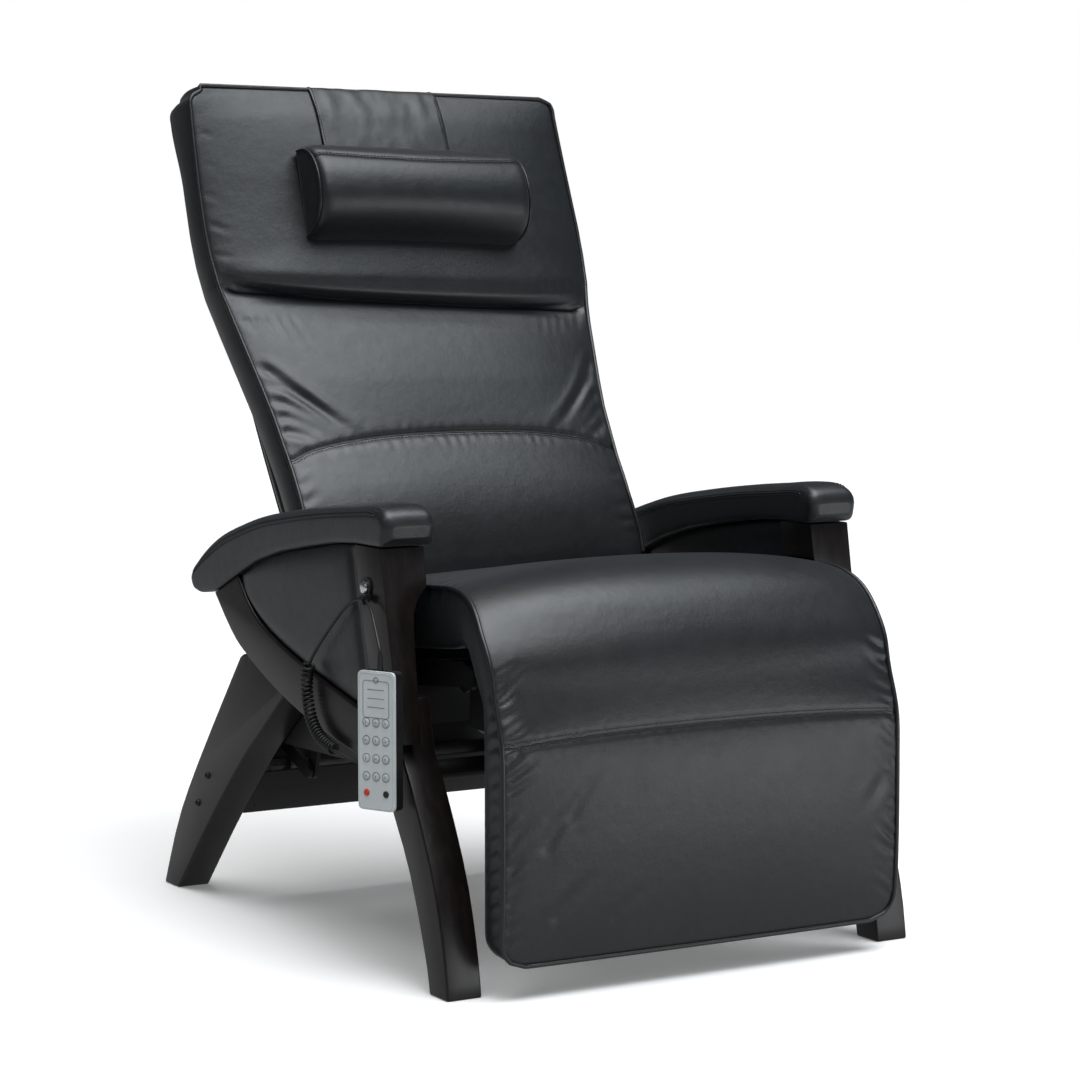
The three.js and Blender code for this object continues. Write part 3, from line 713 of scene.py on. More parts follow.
HEADREST_DEPTH = 22.0       # how much further it reaches behind the headrest
BACK_CELLS = (76, 120, 8)


def profile_at(profile, share):
    rows, distances, depths = np.array(profile, float).T
    return float(np.interp(share, rows, distances)), float(np.interp(share, rows, depths))


def smooth_profile(profile, count=241):
    """The profile with its corners eased, sampled evenly by share of rows."""
    shares = np.linspace(0, 1, count)
    values = np.array([profile_at(profile, s) for s in shares])
    kernel = np.array([1, 2, 3, 2, 1], float) / 9
    for column in range(2):
        padded = np.r_[[2 * values[0, column] - v for v in values[2:0:-1, column]],
                       values[:, column],
                       [2 * values[-1, column] - v for v in values[-2:-4:-1, column]]]
        values[:, column] = np.convolve(padded, kernel, "valid")
    return shares, values


MIDDLE_ROWS = smooth_profile(MIDDLE_PROFILE)
EDGE_ROWS = smooth_profile(EDGE_PROFILE)


def sampled(rows, share):
    shares, values = rows
    return float(np.interp(share, shares, values[:, 0])), float(np.interp(share, shares, values[:, 1]))


def back_shape(across, share, depth):
    reach = abs(across)
    fullness = (1 - reach ** 2.6) ** 0.8
    middle_distance, middle_depth = sampled(MIDDLE_ROWS, share)
    edge_distance, _ = sampled(EDGE_ROWS, share)
    if middle_depth > 0:
        weight = smoothstep(1 - reach, 0.0, 0.1)
        front = middle_depth * weight
    else:
        weight = fullness * smoothstep(1 - reach, 0.0, 0.12)
        front = middle_depth * fullness
    distance = edge_distance + (middle_distance - edge_distance) * weight
    skew = CREASE_SKEW * across - CREASE_LIFT
    skew *= math.exp(-((share - CREASE_SHARE) / 0.13) ** 2)
    skew -= CORNER_RISE * (1 - across) / 2 * float(smoothstep(share, 0.72, 1.0))
    distance -= skew
    edge_distance -= skew
    rear = REAR_DEPTH + HEADREST_DEPTH * float(smoothstep(share, 0.84, 0.97))
    distance_here = distance + (edge_distance - distance) * depth
    y, z = back_point(distance_here, front + (rear - front) * depth)
    _, edge_z = back_point(edge_distance, 0)
    from_top = TOP - edge_distance
    width = back_half_width(edge_z) - corner_inset(from_top, TOP_CORNER)
    if from_top < TOP_CORNER:
        width += TOP_FLARE * (1 - from_top / TOP_CORNER)
    if reach > 0.999:
        width += BACK_BULGE * math.sin(math.pi * min(1.0, depth))
    if share > 0.999:
        z += TOP_CROWN * math.sin(math.pi * depth)
    return [across * width - HEADREST_SHIFT * float(smoothstep(edge_z, 850, 1120)), y, z]


back_shell = Shell(BACK_CELLS, back_shape)
back_cushion = make_mesh("back_cushion_cover", back_shell.points, back_shell.faces, LEATHER, "back")
NU, NV, NW = BACK_CELLS
SEAM_ROW = round(SEAM_SHARE * NV)
CREASE_ROW = round(CREASE_SHARE * NV)
left_edge = [(0, j, 0) for j in range(NV + 1)]
right_edge = [(NU, j, 0) for j in range(NV, -1, -1)]
top_edge = [(i, NV, 0) for i in range(1, NU)]
seam_cells = [(i, SEAM_ROW, 0) for i in range(NU + 1)]
crease_cells = [(i, CREASE_ROW + j, 0) for i in range(NU + 1) for j in range(-6, 9)]
rear_cells = [cell for cell in back_shell.index if cell[2] == NW or cell[1] == 0]
held = left_edge + right_edge + top_edge + seam_cells + crease_cells + rear_cells
settle(back_cushion, back_shell.numbers(held), pressure=0.9, cap=9.0, bending=9.0)
subdivide(back_cushion)
chance = random.Random(5)
back_folds = []


def back_fold(side, start, inward, down, width, depth, bow=0.0):
    """A wrinkle on the back that runs from [x, z] towards the middle and down."""
    x, z = start
    back_folds.append(fold("front", [x, z], [x - side * inward, z - down], width, depth, bow))


# The long diagonal folds of the lumbar: height of the outer end, reach inward, drop.
LUMBAR_FOLDS = ((756, 118, 108), (734, 150, 104), (710, 128, 80), (686, 96, 50), (664, 62, 24))
for side, strength, gather in ((RIGHT, 1.0, 1.3), (LEFT, 0.7, 0.5)):
    for height, inward, down in LUMBAR_FOLDS:
        edge = side * (back_half_width(height) - 3)
        back_fold(side, (edge, height), inward, down, 7.0, 3.2 * strength, 5)
    for step in range(5):
        x = side * (276 - 17 * step)
        depth = gather * chance.uniform(0.6, 1.2) * 0.85 ** step
        back_fold(side, (x, 818), 22, 30 + 5 * step, 5.0, depth)
        back_fold(side, (x, 850), 9, 3 * step - 26, 4.6, 0.8 * strength * 0.8 ** step)
    for height in range(905, 1120, 43):
        edge = side * (back_half_width(height) - 2)
        inward, down = chance.uniform(20, 42), chance.uniform(4, 20)
        back_fold(side, (edge, height), inward, down, 4.8, chance.uniform(0.2, 0.6) * strength)
    for height in range(500, 610, 22):
        edge = side * (back_half_width(height) - 2)
        inward, down = chance.uniform(24, 50), -chance.uniform(0, 16)
        back_fold(side, (edge, height), inward, down, 5.2, chance.uniform(0.4, 1.0) * strength)
sewn = resample(back_shell.row(seam_cells), 300)
press_folds(back_cushion, back_folds + seam_puckers(sewn, 17.0, 0.45))
press_seam(back_cushion, sewn)
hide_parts("back_cushion")

back_tree = surface(back_cushion)
piping_line = back_shell.row(left_edge[6:] + top_edge + right_edge[:-6])
piping = make_mesh("back_piping", *tube(resample(piping_line, 420), 3.1), PIPING, "back")
seam_line = on_surface(back_tree, resample(back_shell.row(seam_cells), 120), 0.2)
topstitch("back_seam_stitching", back_tree, [seam_line], "back")
make_mesh("back_seam", *tube(seam_line, 0.9, 6), PIPING, "back")


# ---- Rear shell of the back ---------------------------------------------------------

REAR_HALF_WIDTH = 250.0
REAR_NEAR, REAR_FAR = 80.0, 104.0       # how far behind the back's line it starts and ends
REAR_CROWN = 6.0
REAR_INSET = 9.0
REAR_CELLS = (40, 60, 3)


def rear_shell_shape(across, share, depth):
    distance = 0.018 * TOP + share * 0.80 * TOP
    crown = REAR_CROWN * (1 - abs(across) ** 4) * (1 - (2 * share - 1) ** 8)
    inset = REAR_INSET * depth ** 2
    behind = REAR_NEAR + (REAR_FAR + crown - REAR_NEAR) * depth
    y, z = back_point(distance - inset * (2 * share - 1), behind)
    return [across * (REAR_HALF_WIDTH - inset), y, z]


rear_shell = Shell(REAR_CELLS, rear_shell_shape)
rear_panel = make_mesh("back_rear_shell", rear_shell.points, rear_shell.faces, LEATHER, "back")
subdivide(rear_panel)
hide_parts("back_panel")
RU, RV, RW = REAR_CELLS
rear_edge = (
    [(0, j, RW) for j in range(RV + 1)] + [(i, RV, RW) for i in range(1, RU)]
    + [(RU, j, RW) for j in range(RV, -1, -1)] + [(i, 0, RW) for i in range(RU - 1, 0, -1)])
rear_loop = rear_shell.row(rear_edge)
make_mesh("back_rear_piping", *tube(rear_loop, 2.4, 8, closed=True), PIPING, "back")


# ---- Seat, knee and legrest cover ---------------------------------------------------

# The cover's front and rear lines in the chair's side view, which lie opposite each other.
SEAT_TOP = [
    [96, 436], [86, 452], [40, 461], [-60, 474], [-180, 488], [-265, 494], [-306, 496], [-347, 490],
    [-379, 475], [-402, 452], [-426, 416], [-437, 374], [-450, 337], [-456, 312], [-458, 250],
    [-458, 150], [-456, 94], [-450, 43],
]
SEAT_UNDER = [
    [98, 392], [90, 380.5], [40, 386], [-60, 395.5], [-180, 407], [-265, 415.5], [-306, 419.5],
    [-340, 428], [-364, 423], [-382, 406], [-396, 384], [-409, 364], [-410.5, 337], [-410.5, 312],
    [-410.5, 250], [-410.5, 150], [-410.5, 94], [-412, 48],
]
SEAT_CELLS = (72, 128, 7)
SEAT_HALF_WIDTH = 285.0
LEGREST_WIDER = 8.0         # how much further each side of the legrest stands out
RIGHT_WIDER = 7.0           # and how much more than that on the right
LEGREST_CORNER = 36.0
SEAT_BULGE = 4.0
SEAM_BOW = 9.0              # how much higher the legrest's seam is in its middle
SEAT_STEPS = 600
seat_top = spline(SEAT_TOP, SEAT_STEPS)
seat_length = path_length(seat_top)


def matched(path, partner, count):
    """Points on the partner that lie opposite even steps along the path."""
    path, partner = np.asarray(path, float), np.asarray(partner, float)
    steps = np.r_[0, np.cumsum(np.linalg.norm(np.diff(path, axis=0), axis=1))]
    even = np.linspace(0, steps[-1], count)
    return np.column_stack([np.interp(even, steps, column) for column in partner.T])


seat_under = matched(SEAT_TOP, SEAT_UNDER, SEAT_STEPS)
seat_along = directions(seat_top)
seat_outward = np.column_stack([seat_along[:, 1], -seat_along[:, 0]])
seat_shares = np.linspace(0, 1, SEAT_STEPS)
falling = slice(350, None)      # the part of the line that runs down the legrest
forward = slice(None, 400)      # the part that runs forward to the knee
LEGREST_SEAM = float(np.interp(-318, -seat_top[falling, 1], seat_shares[falling]))
KNEE = float(np.interp(330, -seat_top[forward, 0], seat_shares[forward]))


def seat_crown(share):
    knots = np.array([
        [0, 4], [0.05, 10], [0.25, 15], [KNEE - 0.03, 26], [KNEE + 0.05, 27], [0.56, 20],
        [LEGREST_SEAM - 0.03, 13], [LEGREST_SEAM, 9.5], [LEGREST_SEAM + 0.03, 13], [0.85, 16],
        [0.95, 10], [1.0, 1]])
    return float(np.interp(share, *knots.T))


CROWN_SHARES = np.linspace(0, 1, 301)
CROWN_VALUES = np.convolve(
    np.pad([seat_crown(s) for s in CROWN_SHARES], 4, "edge"), np.ones(9) / 9, "valid")


def seat_shape(across, share, depth):
    reach = abs(across)
    fullness = (1 - reach ** 2.4) ** 0.85
    shift = SEAM_BOW / seat_length * fullness * math.exp(-((share - LEGREST_SEAM) / 0.05) ** 2)
    place = np.clip(share - shift, 0, 1)
    top = point_at(seat_top, place)
    under = point_at(seat_under, place)
    crown = float(np.interp(share, CROWN_SHARES, CROWN_VALUES)) * fullness
    crest = point_at(seat_outward, place) * crown
    y, z = top + crest + (under - top - crest) * depth
    width = SEAT_HALF_WIDTH + LEGREST_WIDER * float(smoothstep(share, KNEE - 0.04, KNEE + 0.1))
    width += RIGHT_WIDER * float(smoothstep(share, KNEE, KNEE + 0.12)) * (across < 0)
    width -= corner_inset((1 - share) * seat_length, LEGREST_CORNER)
    if reach > 0.999:
        width += SEAT_BULGE * math.sin(math.pi * depth)
    return [across * width, y, z]


seat_shell = Shell(SEAT_CELLS, seat_shape)
seat_cover = make_mesh("seat_and_legrest_cover", seat_shell.points, seat_shell.faces, LEATHER, None)
SU, SV, SW = SEAT_CELLS
seam_row = round(LEGREST_SEAM * SV)
seat_sides = [(0, j, 0) for j in range(SV + 1)], [(SU, j, 0) for j in range(SV, -1, -1)]
seat_bottom = [(i, SV, 0) for i in range(1, SU)]
seat_seam = [(i, seam_row, 0) for i in range(SU + 1)]
seat_rear = [cell for cell in seat_shell.index if cell[2] == SW or cell[1] == 0]
held = seat_sides[0] + seat_sides[1] + seat_bottom + seat_seam + seat_rear
settle(seat_cover, seat_shell.numbers(held), pressure=1.1, cap=10.0, bending=5.0)
subdivide(seat_cover)
seat_folds = []
for side, view, edge, strength in ((RIGHT, "right", 297, 1.0), (LEFT, "left", 291, 0.8)):
    x = side * edge
    height = 70.0
    while height < 400:
        reach = chance.uniform(20, 52)
        tip = [x - side * reach, height + reach * chance.uniform(0.5, 1.0)]
        width, depth = chance.uniform(3.8, 5.4), chance.uniform(0.8, 2.6) * strength
        seat_folds.append(fold("front", [x, height], tip, width, depth, chance.uniform(-3, 3)))
        height += chance.uniform(11, 24)
    for height in range(90, 400, 21):
        tip = [-418, height - chance.uniform(8, 22)]
        seat_folds.append(fold(view, [-452, height], tip, 4.6, chance.uniform(0.8, 2.2)))
    for y in range(-300, 60, 24):
        x = side * 284
        start = [x, y + chance.uniform(-5, 5)]
        tip = [x - side * chance.uniform(22, 46), y + chance.uniform(-8, 8)]
        seat_folds.append(fold("top", start, tip, 5.0, chance.uniform(0.3, 0.9) * strength))
        low = 452 - 0.09 * y
        tip = [y + chance.uniform(-6, 9), low - 6]
        seat_folds.append(fold(view, [y, low + 34], tip, 4.2, chance.uniform(0.8, 1.8)))
LEGREST_FOLDS = (
    ((-250, 180), (-190, 262), 1.6), ((-236, 92), (-168, 160), 1.8),
    ((-214, 214), (-160, 300), 1.2), ((-150, 84), (-92, 140), 1.0), ((268, 236), (226, 190), 1.5))
for start, tip, depth in LEGREST_FOLDS:
    seat_folds.append(fold("front", start, tip, 9.0, depth, 4))
sewn = resample(seat_shell.row(seat_seam), 300)
press_folds(seat_cover, seat_folds + seam_puckers(sewn, 19.0, 0.4))
press_seam(seat_cover, sewn)
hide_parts("seat_cushion", "knee_roll", "legrest_cushion")

KNEE_START = metres([0, -322, 500])
KNEE_END = metres([0, -420, 368])


def bend_at_knee(obj):
    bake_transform(obj)


seat_tree = surface(seat_cover)
seat_piping_line = resample(seat_shell.row(seat_sides[0] + seat_bottom + seat_sides[1]), 560)
seat_piping = make_mesh("seat_piping", *tube(seat_piping_line, 3.1), PIPING, None)
legrest_seam_line = on_surface(seat_tree, resample(seat_shell.row(seat_seam), 120), 0.2)
topstitch("legrest_seam_stitching", seat_tree, [legrest_seam_line], "legrest")
make_mesh("legrest_seam", *tube(legrest_seam_line, 0.9, 6), PIPING, "legrest")
bend_at_knee(seat_cover)
bend_at_knee(seat_piping)


# ---- Head pillow and its strap ------------------------------------------------------

PILLOW_DISTANCE = 0.787 * BACK_LENGTH
PILLOW_CENTRE = 6.0
PILLOW_ROLL = 0.03          # how far it drops to the left, for each millimetre across
PILLOW_HALF_WIDTH = 171.0
PILLOW_HALF_HEIGHT = 70.0
PILLOW_THICKNESS = 66.0
PILLOW_CROWN = 8.0
PILLOW_CORNER = 15.0
PILLOW_CELLS = (46, 34, 4)
PILLOW_SEAM_ROW = 25
PILLOW_SEAM_SAG = 14.0


def pillow_shape(across, share, depth):
    """A half-round bolster: share runs from its bottom to its top, depth from front to back."""
    x = across * PILLOW_HALF_WIDTH
    end = max(0.0, abs(x) - (PILLOW_HALF_WIDTH - PILLOW_CORNER)) / PILLOW_CORNER
    shrink = 1 - 0.10 * (1 - math.sqrt(max(0.0, 1 - end ** 2)))
    angle = math.pi * (share - 0.5)
    thickness = PILLOW_THICKNESS + PILLOW_CROWN * (1 - across ** 2)
    front = -thickness * shrink * abs(math.cos(angle)) ** 0.85
    rise = PILLOW_HALF_HEIGHT * shrink * math.copysign(abs(math.sin(angle)) ** 0.9, angle)
    away = -30.0 + 6.0 * depth + (1 - depth) * front
    y, z = back_point(PILLOW_DISTANCE + rise * (1 - 0.06 * depth), away)
    return [PILLOW_CENTRE + x, y, z - PILLOW_ROLL * x]


PU, PV, PW = PILLOW_CELLS
pillow_shell = Shell(PILLOW_CELLS, pillow_shape)
pillow = make_mesh("head_pillow_cover", pillow_shell.points, pillow_shell.faces, LEATHER, "pillow")
pillow_ends = [[(i, j, 0) for j in range(PV + 1)] for i in (0, PU)]
pillow_seam = [(i, PILLOW_SEAM_ROW, 0) for i in range(PU + 1)]
pillow_rear = [cell for cell in pillow_shell.index if cell[2] == PW or cell[1] in (0, PV)]
held = pillow_ends[0] + pillow_ends[1] + pillow_seam + pillow_rear
settle(pillow, pillow_shell.numbers(held), pressure=1.2, cap=6.0, bending=4.0)
subdivide(pillow)
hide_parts("head_pillow")
pillow_line = resample(pillow_shell.row(pillow_seam), 120)
from_middle = (pillow_line[:, 0] - PILLOW_CENTRE) / PILLOW_HALF_WIDTH
pillow_line[:, 2] -= PILLOW_SEAM_SAG * (1 - from_middle ** 2)
pillow_line = on_surface(surface(pillow), pillow_line, 0.0)
press_seam(pillow, pillow_line, 4.5, 2.2)
pillow_tree = surface(pillow)
pillow_rims = [pillow_shell.row(edge) for edge in pillow_ends]
for rim, word in zip(pillow_rims, ("right", "left")):
    make_mesh(f"pillow_end_piping_{word}", *tube(resample(rim, 60), 1.8, 7), PIPING, "pillow")
pillow_line = on_surface(pillow_tree, pillow_line, 0.2)
topstitch("pillow_seam_stitching", pillow_tree, [pillow_line], "pillow", (-3.0, 3.0))
make_mesh("pillow_seam", *tube(pillow_line, 0.8, 6), PIPING, "pillow")

STRAP_HALF_WIDTH = 104.0
STRAP_CENTRE = -15.0
strap_middle = np.vstack([
    [back_point(TOP - d, -45) for d in (122, 90, 60, 30, 12)],
    [[430, 1157], [446, 1154], [468, 1148], [492, 1138], [508, 1120]],
    [back_point(TOP - d, 92) for d in (24, 60, 95, 122)],
])
strap_middle = spline(strap_middle, 64)
strap_tree = surface(back_cushion)
strap_rows, strap_columns = len(strap_middle), 27


def strap_grid(lift):
    grid = []
    for j, (y, z) in enumerate(strap_middle):
        for i in range(strap_columns):
            x = STRAP_CENTRE + STRAP_HALF_WIDTH * (2 * i / (strap_columns - 1) - 1)
            place, normal, _, _ = strap_tree.find_nearest(Vector((x, y, z)))
            ripple = 1.4 * wave((x * 2.2, y, z), 3, 46.0) + 0.8 * wave((x * 3, y, z), 5, 24.0)
            grid.append(np.array(place) + np.array(normal) * (lift + max(0.0, ripple + 0.6)))
    return grid


def strap_solid():
    upper, lower = strap_grid(3.4), strap_grid(0.9)
    points = upper + lower
    offset = len(upper)

    def at(j, i):
        return j * strap_columns + i

    faces = []
    for j in range(strap_rows - 1):
        for i in range(strap_columns - 1):
            quad = (at(j, i), at(j, i + 1), at(j + 1, i + 1), at(j + 1, i))
            faces.append(quad)
            faces.append(tuple(offset + n for n in reversed(quad)))
    rim = (
        [at(0, i) for i in range(strap_columns)]
        + [at(j, strap_columns - 1) for j in range(1, strap_rows)]
        + [at(strap_rows - 1, i) for i in range(strap_columns - 2, -1, -1)]
        + [at(j, 0) for j in range(strap_rows - 2, 0, -1)])
    for a, b in zip(rim, rim[1:] + rim[:1]):
        faces.append((b, a, a + offset, b + offset))
    return points, faces


strap = make_mesh("pillow_strap_cover", *strap_solid(), LEATHER, "back")
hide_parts("pillow_strap")
strap_cover_tree = surface(strap)
strap_edges = []
for side in (RIGHT, LEFT):
    edge_x = STRAP_CENTRE + side * (STRAP_HALF_WIDTH - 5)
    edge = [[edge_x, y, z] for y, z in strap_middle[2:-2]]
    strap_edges.append(on_surface(strap_cover_tree, edge, 0.2))
topstitch("strap_stitching", strap_cover_tree, strap_edges, "back", (0.0,))
subdivide(strap)


# ---- Arm pads and side panels -------------------------------------------------------

PAD_TOP = [
    [-272, 573], [-266, 587], [-240, 596], [-165, 590], [-85, 582], [0, 571], [89, 557], [155, 541],
    [218, 522], [262, 502], [298, 479], [321, 456],
]
PAD_BOTTOM = [
    [-270, 557], [-258, 546.4], [-225, 545.9], [-188, 545.9], [-127, 541.6], [-48, 530], [31, 516.6],
    [104, 497.6], [159, 475.6], [233, 444.6], [281, 437], [313, 443],
]
PAD_INNER, PAD_OUTER = 287.0, 362.0
pad_top = spline(PAD_TOP, 200)
pad_bottom = matched(PAD_TOP, PAD_BOTTOM, 200)
pad_length = path_length(pad_top)


def pad_shape(side):
    """A rounded bar between the pad's top and bottom lines, crowned and narrowed at its ends."""
    middle = (PAD_INNER + PAD_OUTER) / 2
    half = (PAD_OUTER - PAD_INNER) / 2

    def shape(across, share, depth):
        top = point_at(pad_top, share)
        bottom = point_at(pad_bottom, share)
        height = max(np.linalg.norm(top - bottom), 1.0)
        up = (top - bottom) / height
        x = across * half
        h = (1 - depth) * height
        top_radius, low_radius = min(13.0, height / 2.2), min(6.0, height / 2.2)
        edges = ((top_radius, height - top_radius, 1), (low_radius, low_radius, -1))
        for radius, centre_h, sign in edges:
            over_h = (h - centre_h) * sign
            over_x = abs(x) - (half - radius)
            if over_h > 0 and over_x > 0:
                reach = math.hypot(over_h, over_x)
                grow = radius / reach * max(over_h, over_x) / radius
                x = math.copysign(half - radius + over_x * grow, x)
                h = centre_h + sign * over_h * grow
        crown = 5.0 * (1 - across ** 2) * (1 - depth)
        crown *= math.sin(math.pi * min(1, max(0, share))) ** 0.4
        y, z = bottom + up * (h + crown)
        ends = min(share, 1 - share) * pad_length
        x *= 1 - 0.30 * (1 - min(1.0, ends / 15.0)) ** 2
        x *= 1 + 0.012 * math.sin(math.pi * depth)
        return [side * (middle + x), y, z]

    return shape


PAD_CELLS = (20, 84, 10)
PAD_FRONT_ROW = 5           # the row of cells that the seam across the pad's front follows


def arm_pad(side, word):
    shell = Shell(PAD_CELLS, pad_shape(side))
    pad = make_mesh(f"arm_pad_cover_{word}", shell.points, shell.faces, LEATHER, "base")
    subdivide(pad)
    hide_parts(f"arm_pad_{word}")
    tree = surface(pad)
    wide, long, _ = PAD_CELLS
    lines = []
    for column in (0, wide):
        cells = [(column, j, 2) for j in range(PAD_FRONT_ROW, long - 2)]
        lines.append(on_surface(tree, resample(shell.row(cells), 130), 0.1))
    cells = [(i, PAD_FRONT_ROW, 0) for i in range(wide + 1)]
    front = on_surface(tree, resample(shell.row(cells), 30), 0.1)
    front[:, 2] -= 2.0
    lines.append(front)
    for number, line in enumerate(lines, 1):
        make_mesh(f"arm_pad_seam_{number}_{word}", *tube(line, 0.9, 6), PIPING, "base")
    topstitch(f"arm_pad_stitching_{word}", tree, lines, "base", (-3.2, 3.2))


PANEL_BOTTOM = spline([
    [-241, 326], [-200, 335], [-129, 350.6], [-29, 373.6], [74, 405.6], [130, 437], [163, 470],
], 120)
PANEL_TOP = spline([
    [-184, 544.4], [-127, 540.6], [-48, 529], [31, 515.6], [104, 496.6], [163, 471.5],
], 120)
PANEL_INSIDE, PANEL_OUTSIDE = 305.0, 351.5
PANEL_CELLS = (54, 34, 6)


def panel_shape(side):
    def shape(across, share, depth):
        """Across runs from the post to the rear, share from the rail up to the pad."""
        u = (across + 1) / 2
        low, high = point_at(PANEL_BOTTOM, u), point_at(PANEL_TOP, u)
        y, z = low + (high - low) * share
        from_post = u * path_length(PANEL_BOTTOM)
        swell = (1 - abs(2 * u - 1) ** 9) * (1 - abs(2 * share - 1) ** 6)
        groove = 6.0 * math.exp(-((from_post - 26) / 4.5) ** 2)
        roll = 2.6 * math.exp(-((from_post - 12) / 8.0) ** 2)
        outside = PANEL_OUTSIDE + 6.5 * swell + (roll - groove) * min(1.0, swell * 2)
        inside = PANEL_INSIDE - 3.0 * swell
        return [side * (inside + (outside - inside) * depth), y, z]

    return shape


def side_panel(side, word):
    shell = Shell(PANEL_CELLS, panel_shape(side))
    panel = make_mesh(f"side_panel_cover_{word}", shell.points, shell.faces, LEATHER, "base")
    subdivide(panel)
    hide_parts(f"arm_side_panel_{word}")


# ---- Timber -------------------------------------------------------------------------

def eased_copy(node_name, material, width, body, segments=3):
    """A copy of a CAD solid with rounded edges, which stands for it."""
    source = bpy.data.objects[node_name]
    data = source.data.copy()
    data.materials.clear()
    data.materials.append(material)
    obj = bpy.data.objects.new(f"{node_name}_eased", data)
    bpy.context.scene.collection.objects.link(obj)
    work = bmesh.new()
    work.from_mesh(data)
    bmesh.ops.remove_doubles(work, verts=work.verts, dist=1e-5)
    bmesh.ops.dissolve_limit(work, angle_limit=math.radians(0.6), verts=work.verts, edges=work.edges)
    work.to_mesh(data)
    work.free()
    bevel = obj.modifiers.new("edges", "BEVEL")
    bevel.width = width / 1000.0
    bevel.segments = segments
    bevel.limit_method = "ANGLE"
    bevel.angle_limit = math.radians(32)
    bevel.harden_normals = False
    bake_modifiers(obj)
    obj.data.set_sharp_from_angle(angle=math.radians(28))
    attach(obj, body)
    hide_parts(node_name)
    return obj


for side, word in ((RIGHT, "right"), (LEFT, "left")):
    arm_pad(side, word)
    side_panel(side, word)
    for stem, width in (("front_leg", 3.0), ("rear_leg", 3.0), ("arm_rail", 2.5), ("arm_post", 2.5)):
        eased_copy(f"{stem}_{word}", NODE_MATERIALS[stem], width, "base")
eased_copy("rear_cross_board", WOOD_CROSS, 2.0, "base")


# ---- Screws -------------------------------------------------------------------------

def screw(name, place, normal, radius=5.0):
    """A domed socket head, set in the timber."""
    profile = [(0, -1.0), (0.42, -1.0), (0.42, 0.9), (0.62, 1.3), (0.86, 0.9), (1.0, 0.0),
               (1.0, -1.2), (0, -1.2)]
    steps = 20
    turn = Vector(normal).normalized().to_track_quat("Z", "Y")
    points, faces = [], []
    for r, h in profile:
        for k in range(steps):
            a = 2 * math.pi * k / steps
            out = radius * max(r, 0.02)
            local = Vector((out * math.cos(a), out * math.sin(a), h * radius * 0.45))
            points.append(np.array(Vector(place) + turn @ local))
    for row in range(len(profile) - 1):
        for k in range(steps):
            n = (k + 1) % steps
            a, b = row * steps, (row + 1) * steps
            faces.append((a + k, a + n, b + n, b + k))
    faces.append(tuple(range(steps)))
    faces.append(tuple((len(profile) - 1) * steps + k for k in reversed(range(steps))))
    return make_mesh(name, points, faces, STEEL, "base", "black_steel")


LEG_BOLTS = ((284, 178.5), (317, 135))      # [y, z] on the rear leg's outer face
for side, word in ((RIGHT, "right"), (LEFT, "left")):
    for number, (y, z) in enumerate(LEG_BOLTS, 1):
        screw(f"leg_bolt_{number}_{word}", [side * 350.4, y, z], [side, 0, 0])
    for number, up in enumerate((26, 70), 1):
        place = [side * 288, 283.2 - 0.702 * up, 115.9 + 0.712 * up]
        screw(f"board_screw_{number}_{word}", place, [0, -0.712, -0.702], 4.2)


# ---- Handset details ----------------------------------------------------------------

HANDSET_CENTRE = np.array([-388.5, -297.0, 311.0])
FACING = np.array([math.sin(math.radians(-65)), -math.cos(math.radians(-65)), 0.0])
ACROSS = np.cross([0, 0, 1.0], FACING)


def on_handset(x, y, out):
    return HANDSET_CENTRE + ACROSS * x + np.array([0, 0, 1.0]) * y + FACING * out


def outline_rectangle(width, height, radius, steps=5):
    points = []
    for cx, cy, start in ((1, 1, 0), (-1, 1, 90), (-1, -1, 180), (1, -1, 270)):
        for k in range(steps + 1):
            a = math.radians(start + 90 * k / steps)
            points.append((cx * (width / 2 - radius) + radius * math.cos(a),
                           cy * (height / 2 - radius) + radius * math.sin(a)))
    return points


def handset_line(name, points, radius, material, slot, body="base", closed=True):
    line = [on_handset(x, y, out) for x, y, out in points]
    return make_mesh(name, *tube(line, radius, 6, closed), material, body, slot)


def circle(radius, x, y, out, steps):
    angles = np.linspace(0, 2 * math.pi, steps, endpoint=False)
    return [(x + radius * math.cos(a), y + radius * math.sin(a), out) for a in angles]


bezel = [(x, y, 0.1) for x, y in outline_rectangle(51, 169, 6)]
handset_line("handset_bezel", bezel, 0.45, KEY_GREY, "grey_keys")
screen = [(x, y + 52, 0.05) for x, y in outline_rectangle(40, 46, 4)]
handset_line("handset_screen_frame", screen, 0.4, PRINT, "grey_keys")
handset_line("handset_lamp_ring", circle(3.4, 0, 76, 0.15, 20), 0.5, PRINT, "grey_keys")
for row in range(3):
    rule = [(x, 64 - 11 * row, 0.05) for x in (-13, -4, 13)]
    handset_line(f"handset_rule_{row + 1}", rule, 0.35, PRINT, "grey_keys", closed=False)
for row in range(4):
    for column in range(3):
        number = row * 3 + column + 1
        x, y = (column - 1) * 15.0, 23.0 - 22.5 * row
        ring = circle(5.6, x, y, 0.05, 24)
        handset_line(f"handset_key_ring_{number:02d}", ring, 0.35, PRINT, "grey_keys")
        dx, dy = (0, 1.8) if number % 2 else (1.8, 0)
        mark = [(x + step * dx, y + step * dy, 1.62) for step in (-1, 0, 1)]
        body = f"key_{number:02d}"
        handset_line(f"handset_key_mark_{number:02d}", mark, 0.35, PRINT, "grey_keys", body, False)


# ---- Stage and light ----------------------------------------------------------------

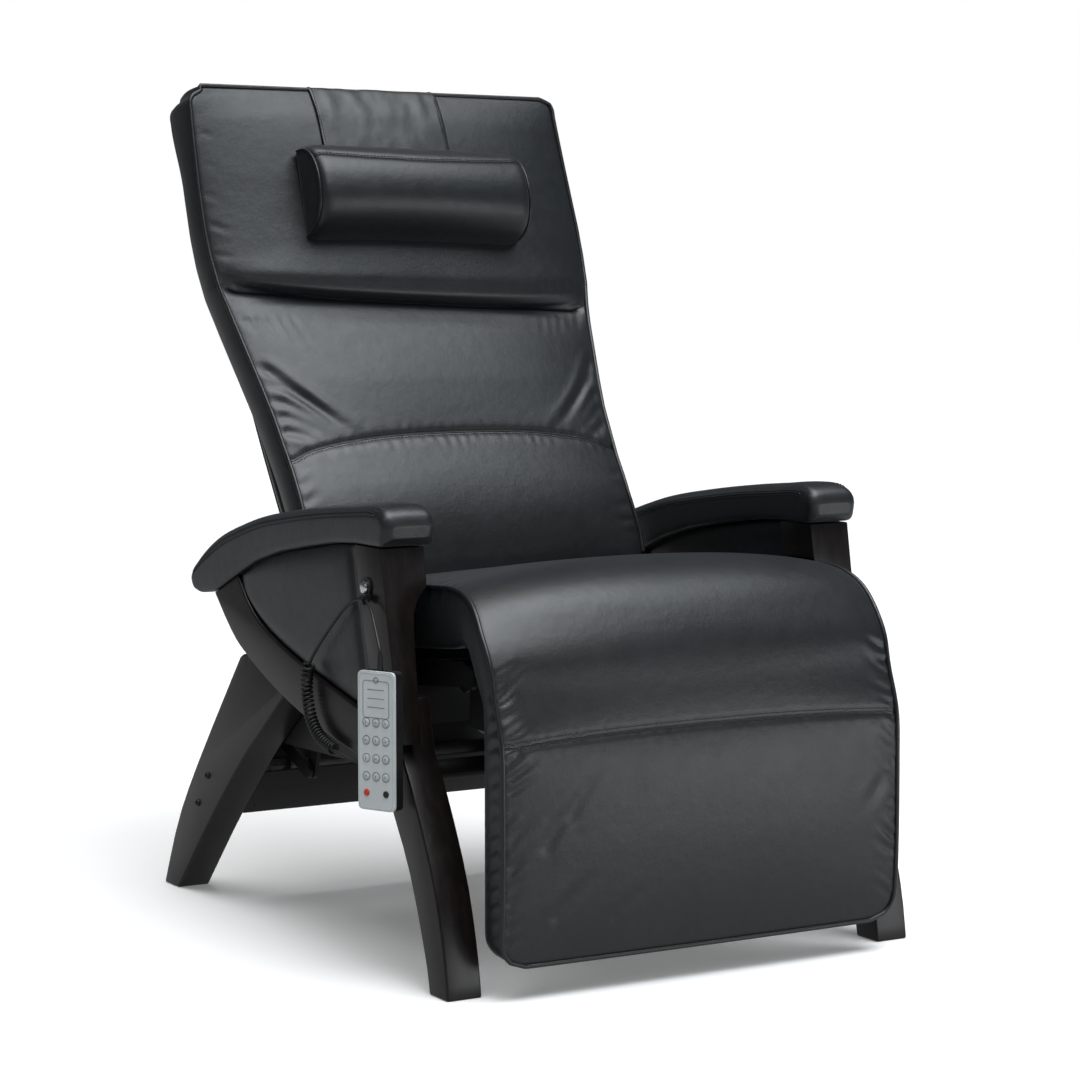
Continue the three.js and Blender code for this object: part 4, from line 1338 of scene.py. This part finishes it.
def pale_floor():
    """White to the camera, and grey to the light that it reflects onto the chair."""
    m = Nodes("studio_floor")
    vector = m.place()
    cloud = m.noise(vector, 2.0, 2.0)
    pale = m.ramp(cloud, [(0.3, (0.95, 0.95, 0.95)), (0.7, (0.98, 0.98, 0.98))])
    seen = m.add("ShaderNodeLightPath")
    mix = m.add("ShaderNodeMixRGB", Color1=(0.27, 0.27, 0.27, 1.0))
    m.link(seen.outputs["Is Camera Ray"], mix.inputs["Fac"])
    m.link(pale, mix.inputs["Color2"])
    m.link(mix.outputs["Color"], m.shader.inputs["Base Color"])
    m.shader.inputs["Roughness"].default_value = 0.9
    m.shader.inputs["Emission Color"].default_value = (1.0, 1.0, 1.0, 1.0)
    m.shader.inputs["Emission Strength"].default_value = 0.16
    data = bpy.data.meshes.new("studio_floor")
    size = 14.0
    corners = [(-size, -size, 0), (size, -size, 0), (size, size, 0), (-size, size, 0)]
    data.from_pydata(corners, [], [(0, 1, 2, 3)])
    data.materials.append(m.material)
    floor = bpy.data.objects.new("studio_floor", data)
    bpy.context.scene.collection.objects.link(floor)


def area_light(name, place, aim, size, power, color=(1, 1, 1)):
    data = bpy.data.lights.new(name, "AREA")
    data.shape = "RECTANGLE"
    data.size, data.size_y = size
    data.energy = power
    data.color = color
    light = bpy.data.objects.new(name, data)
    light.location = place
    light.rotation_euler = (Vector(aim) - Vector(place)).to_track_quat("-Z", "Y").to_euler()
    light.visible_camera = False
    bpy.context.scene.collection.objects.link(light)


def sun_light(name, tilt, turn, strength, angle):
    """A soft sun, tilted from straight down and turned about the upright."""
    data = bpy.data.lights.new(name, "SUN")
    data.energy = strength
    data.angle = math.radians(angle)
    light = bpy.data.objects.new(name, data)
    light.rotation_euler = (math.radians(tilt), 0.0, math.radians(turn))
    bpy.context.scene.collection.objects.link(light)


def studio_world(light, backdrop):
    """A dim room for the light, and a white backdrop where the camera sees past the floor."""
    world = bpy.data.worlds.new("studio")
    world.use_nodes = True
    tree = world.node_tree
    room = tree.nodes["Background"]
    room.inputs["Color"].default_value = (0.9, 0.95, 1.0, 1.0)
    room.inputs["Strength"].default_value = light
    white = tree.nodes.new("ShaderNodeBackground")
    white.inputs["Color"].default_value = (1.0, 1.0, 1.0, 1.0)
    white.inputs["Strength"].default_value = backdrop
    seen = tree.nodes.new("ShaderNodeLightPath")
    mix = tree.nodes.new("ShaderNodeMixShader")
    tree.links.new(seen.outputs["Is Camera Ray"], mix.inputs["Fac"])
    tree.links.new(room.outputs["Background"], mix.inputs[1])
    tree.links.new(white.outputs["Background"], mix.inputs[2])
    tree.links.new(mix.outputs["Shader"], tree.nodes["World Output"].inputs["Surface"])
    bpy.context.scene.world = world


pale_floor()
sun_light("top_sun", 8, 0, 2.6, 60)
sun_light("front_sun", 38, 5, 0.35, 40)
area_light("top_box", (0.4, -1.2, 3.4), (0, 0, 0.75), (3.0, 2.0), 56, (0.84, 0.93, 1.0))
area_light("low_box", (1.3, -2.4, 0.28), (0, -0.45, 0.25), (2.2, 0.5), 14, (0.93, 0.97, 1.0))
area_light("left_light", (-3.2, -0.6, 1.9), (0, 0, 0.7), (1.4, 1.8), 2, (0.92, 0.96, 1.0))
studio_world(0.08, 1.0)
bpy.context.scene.view_settings.view_transform = "Standard"
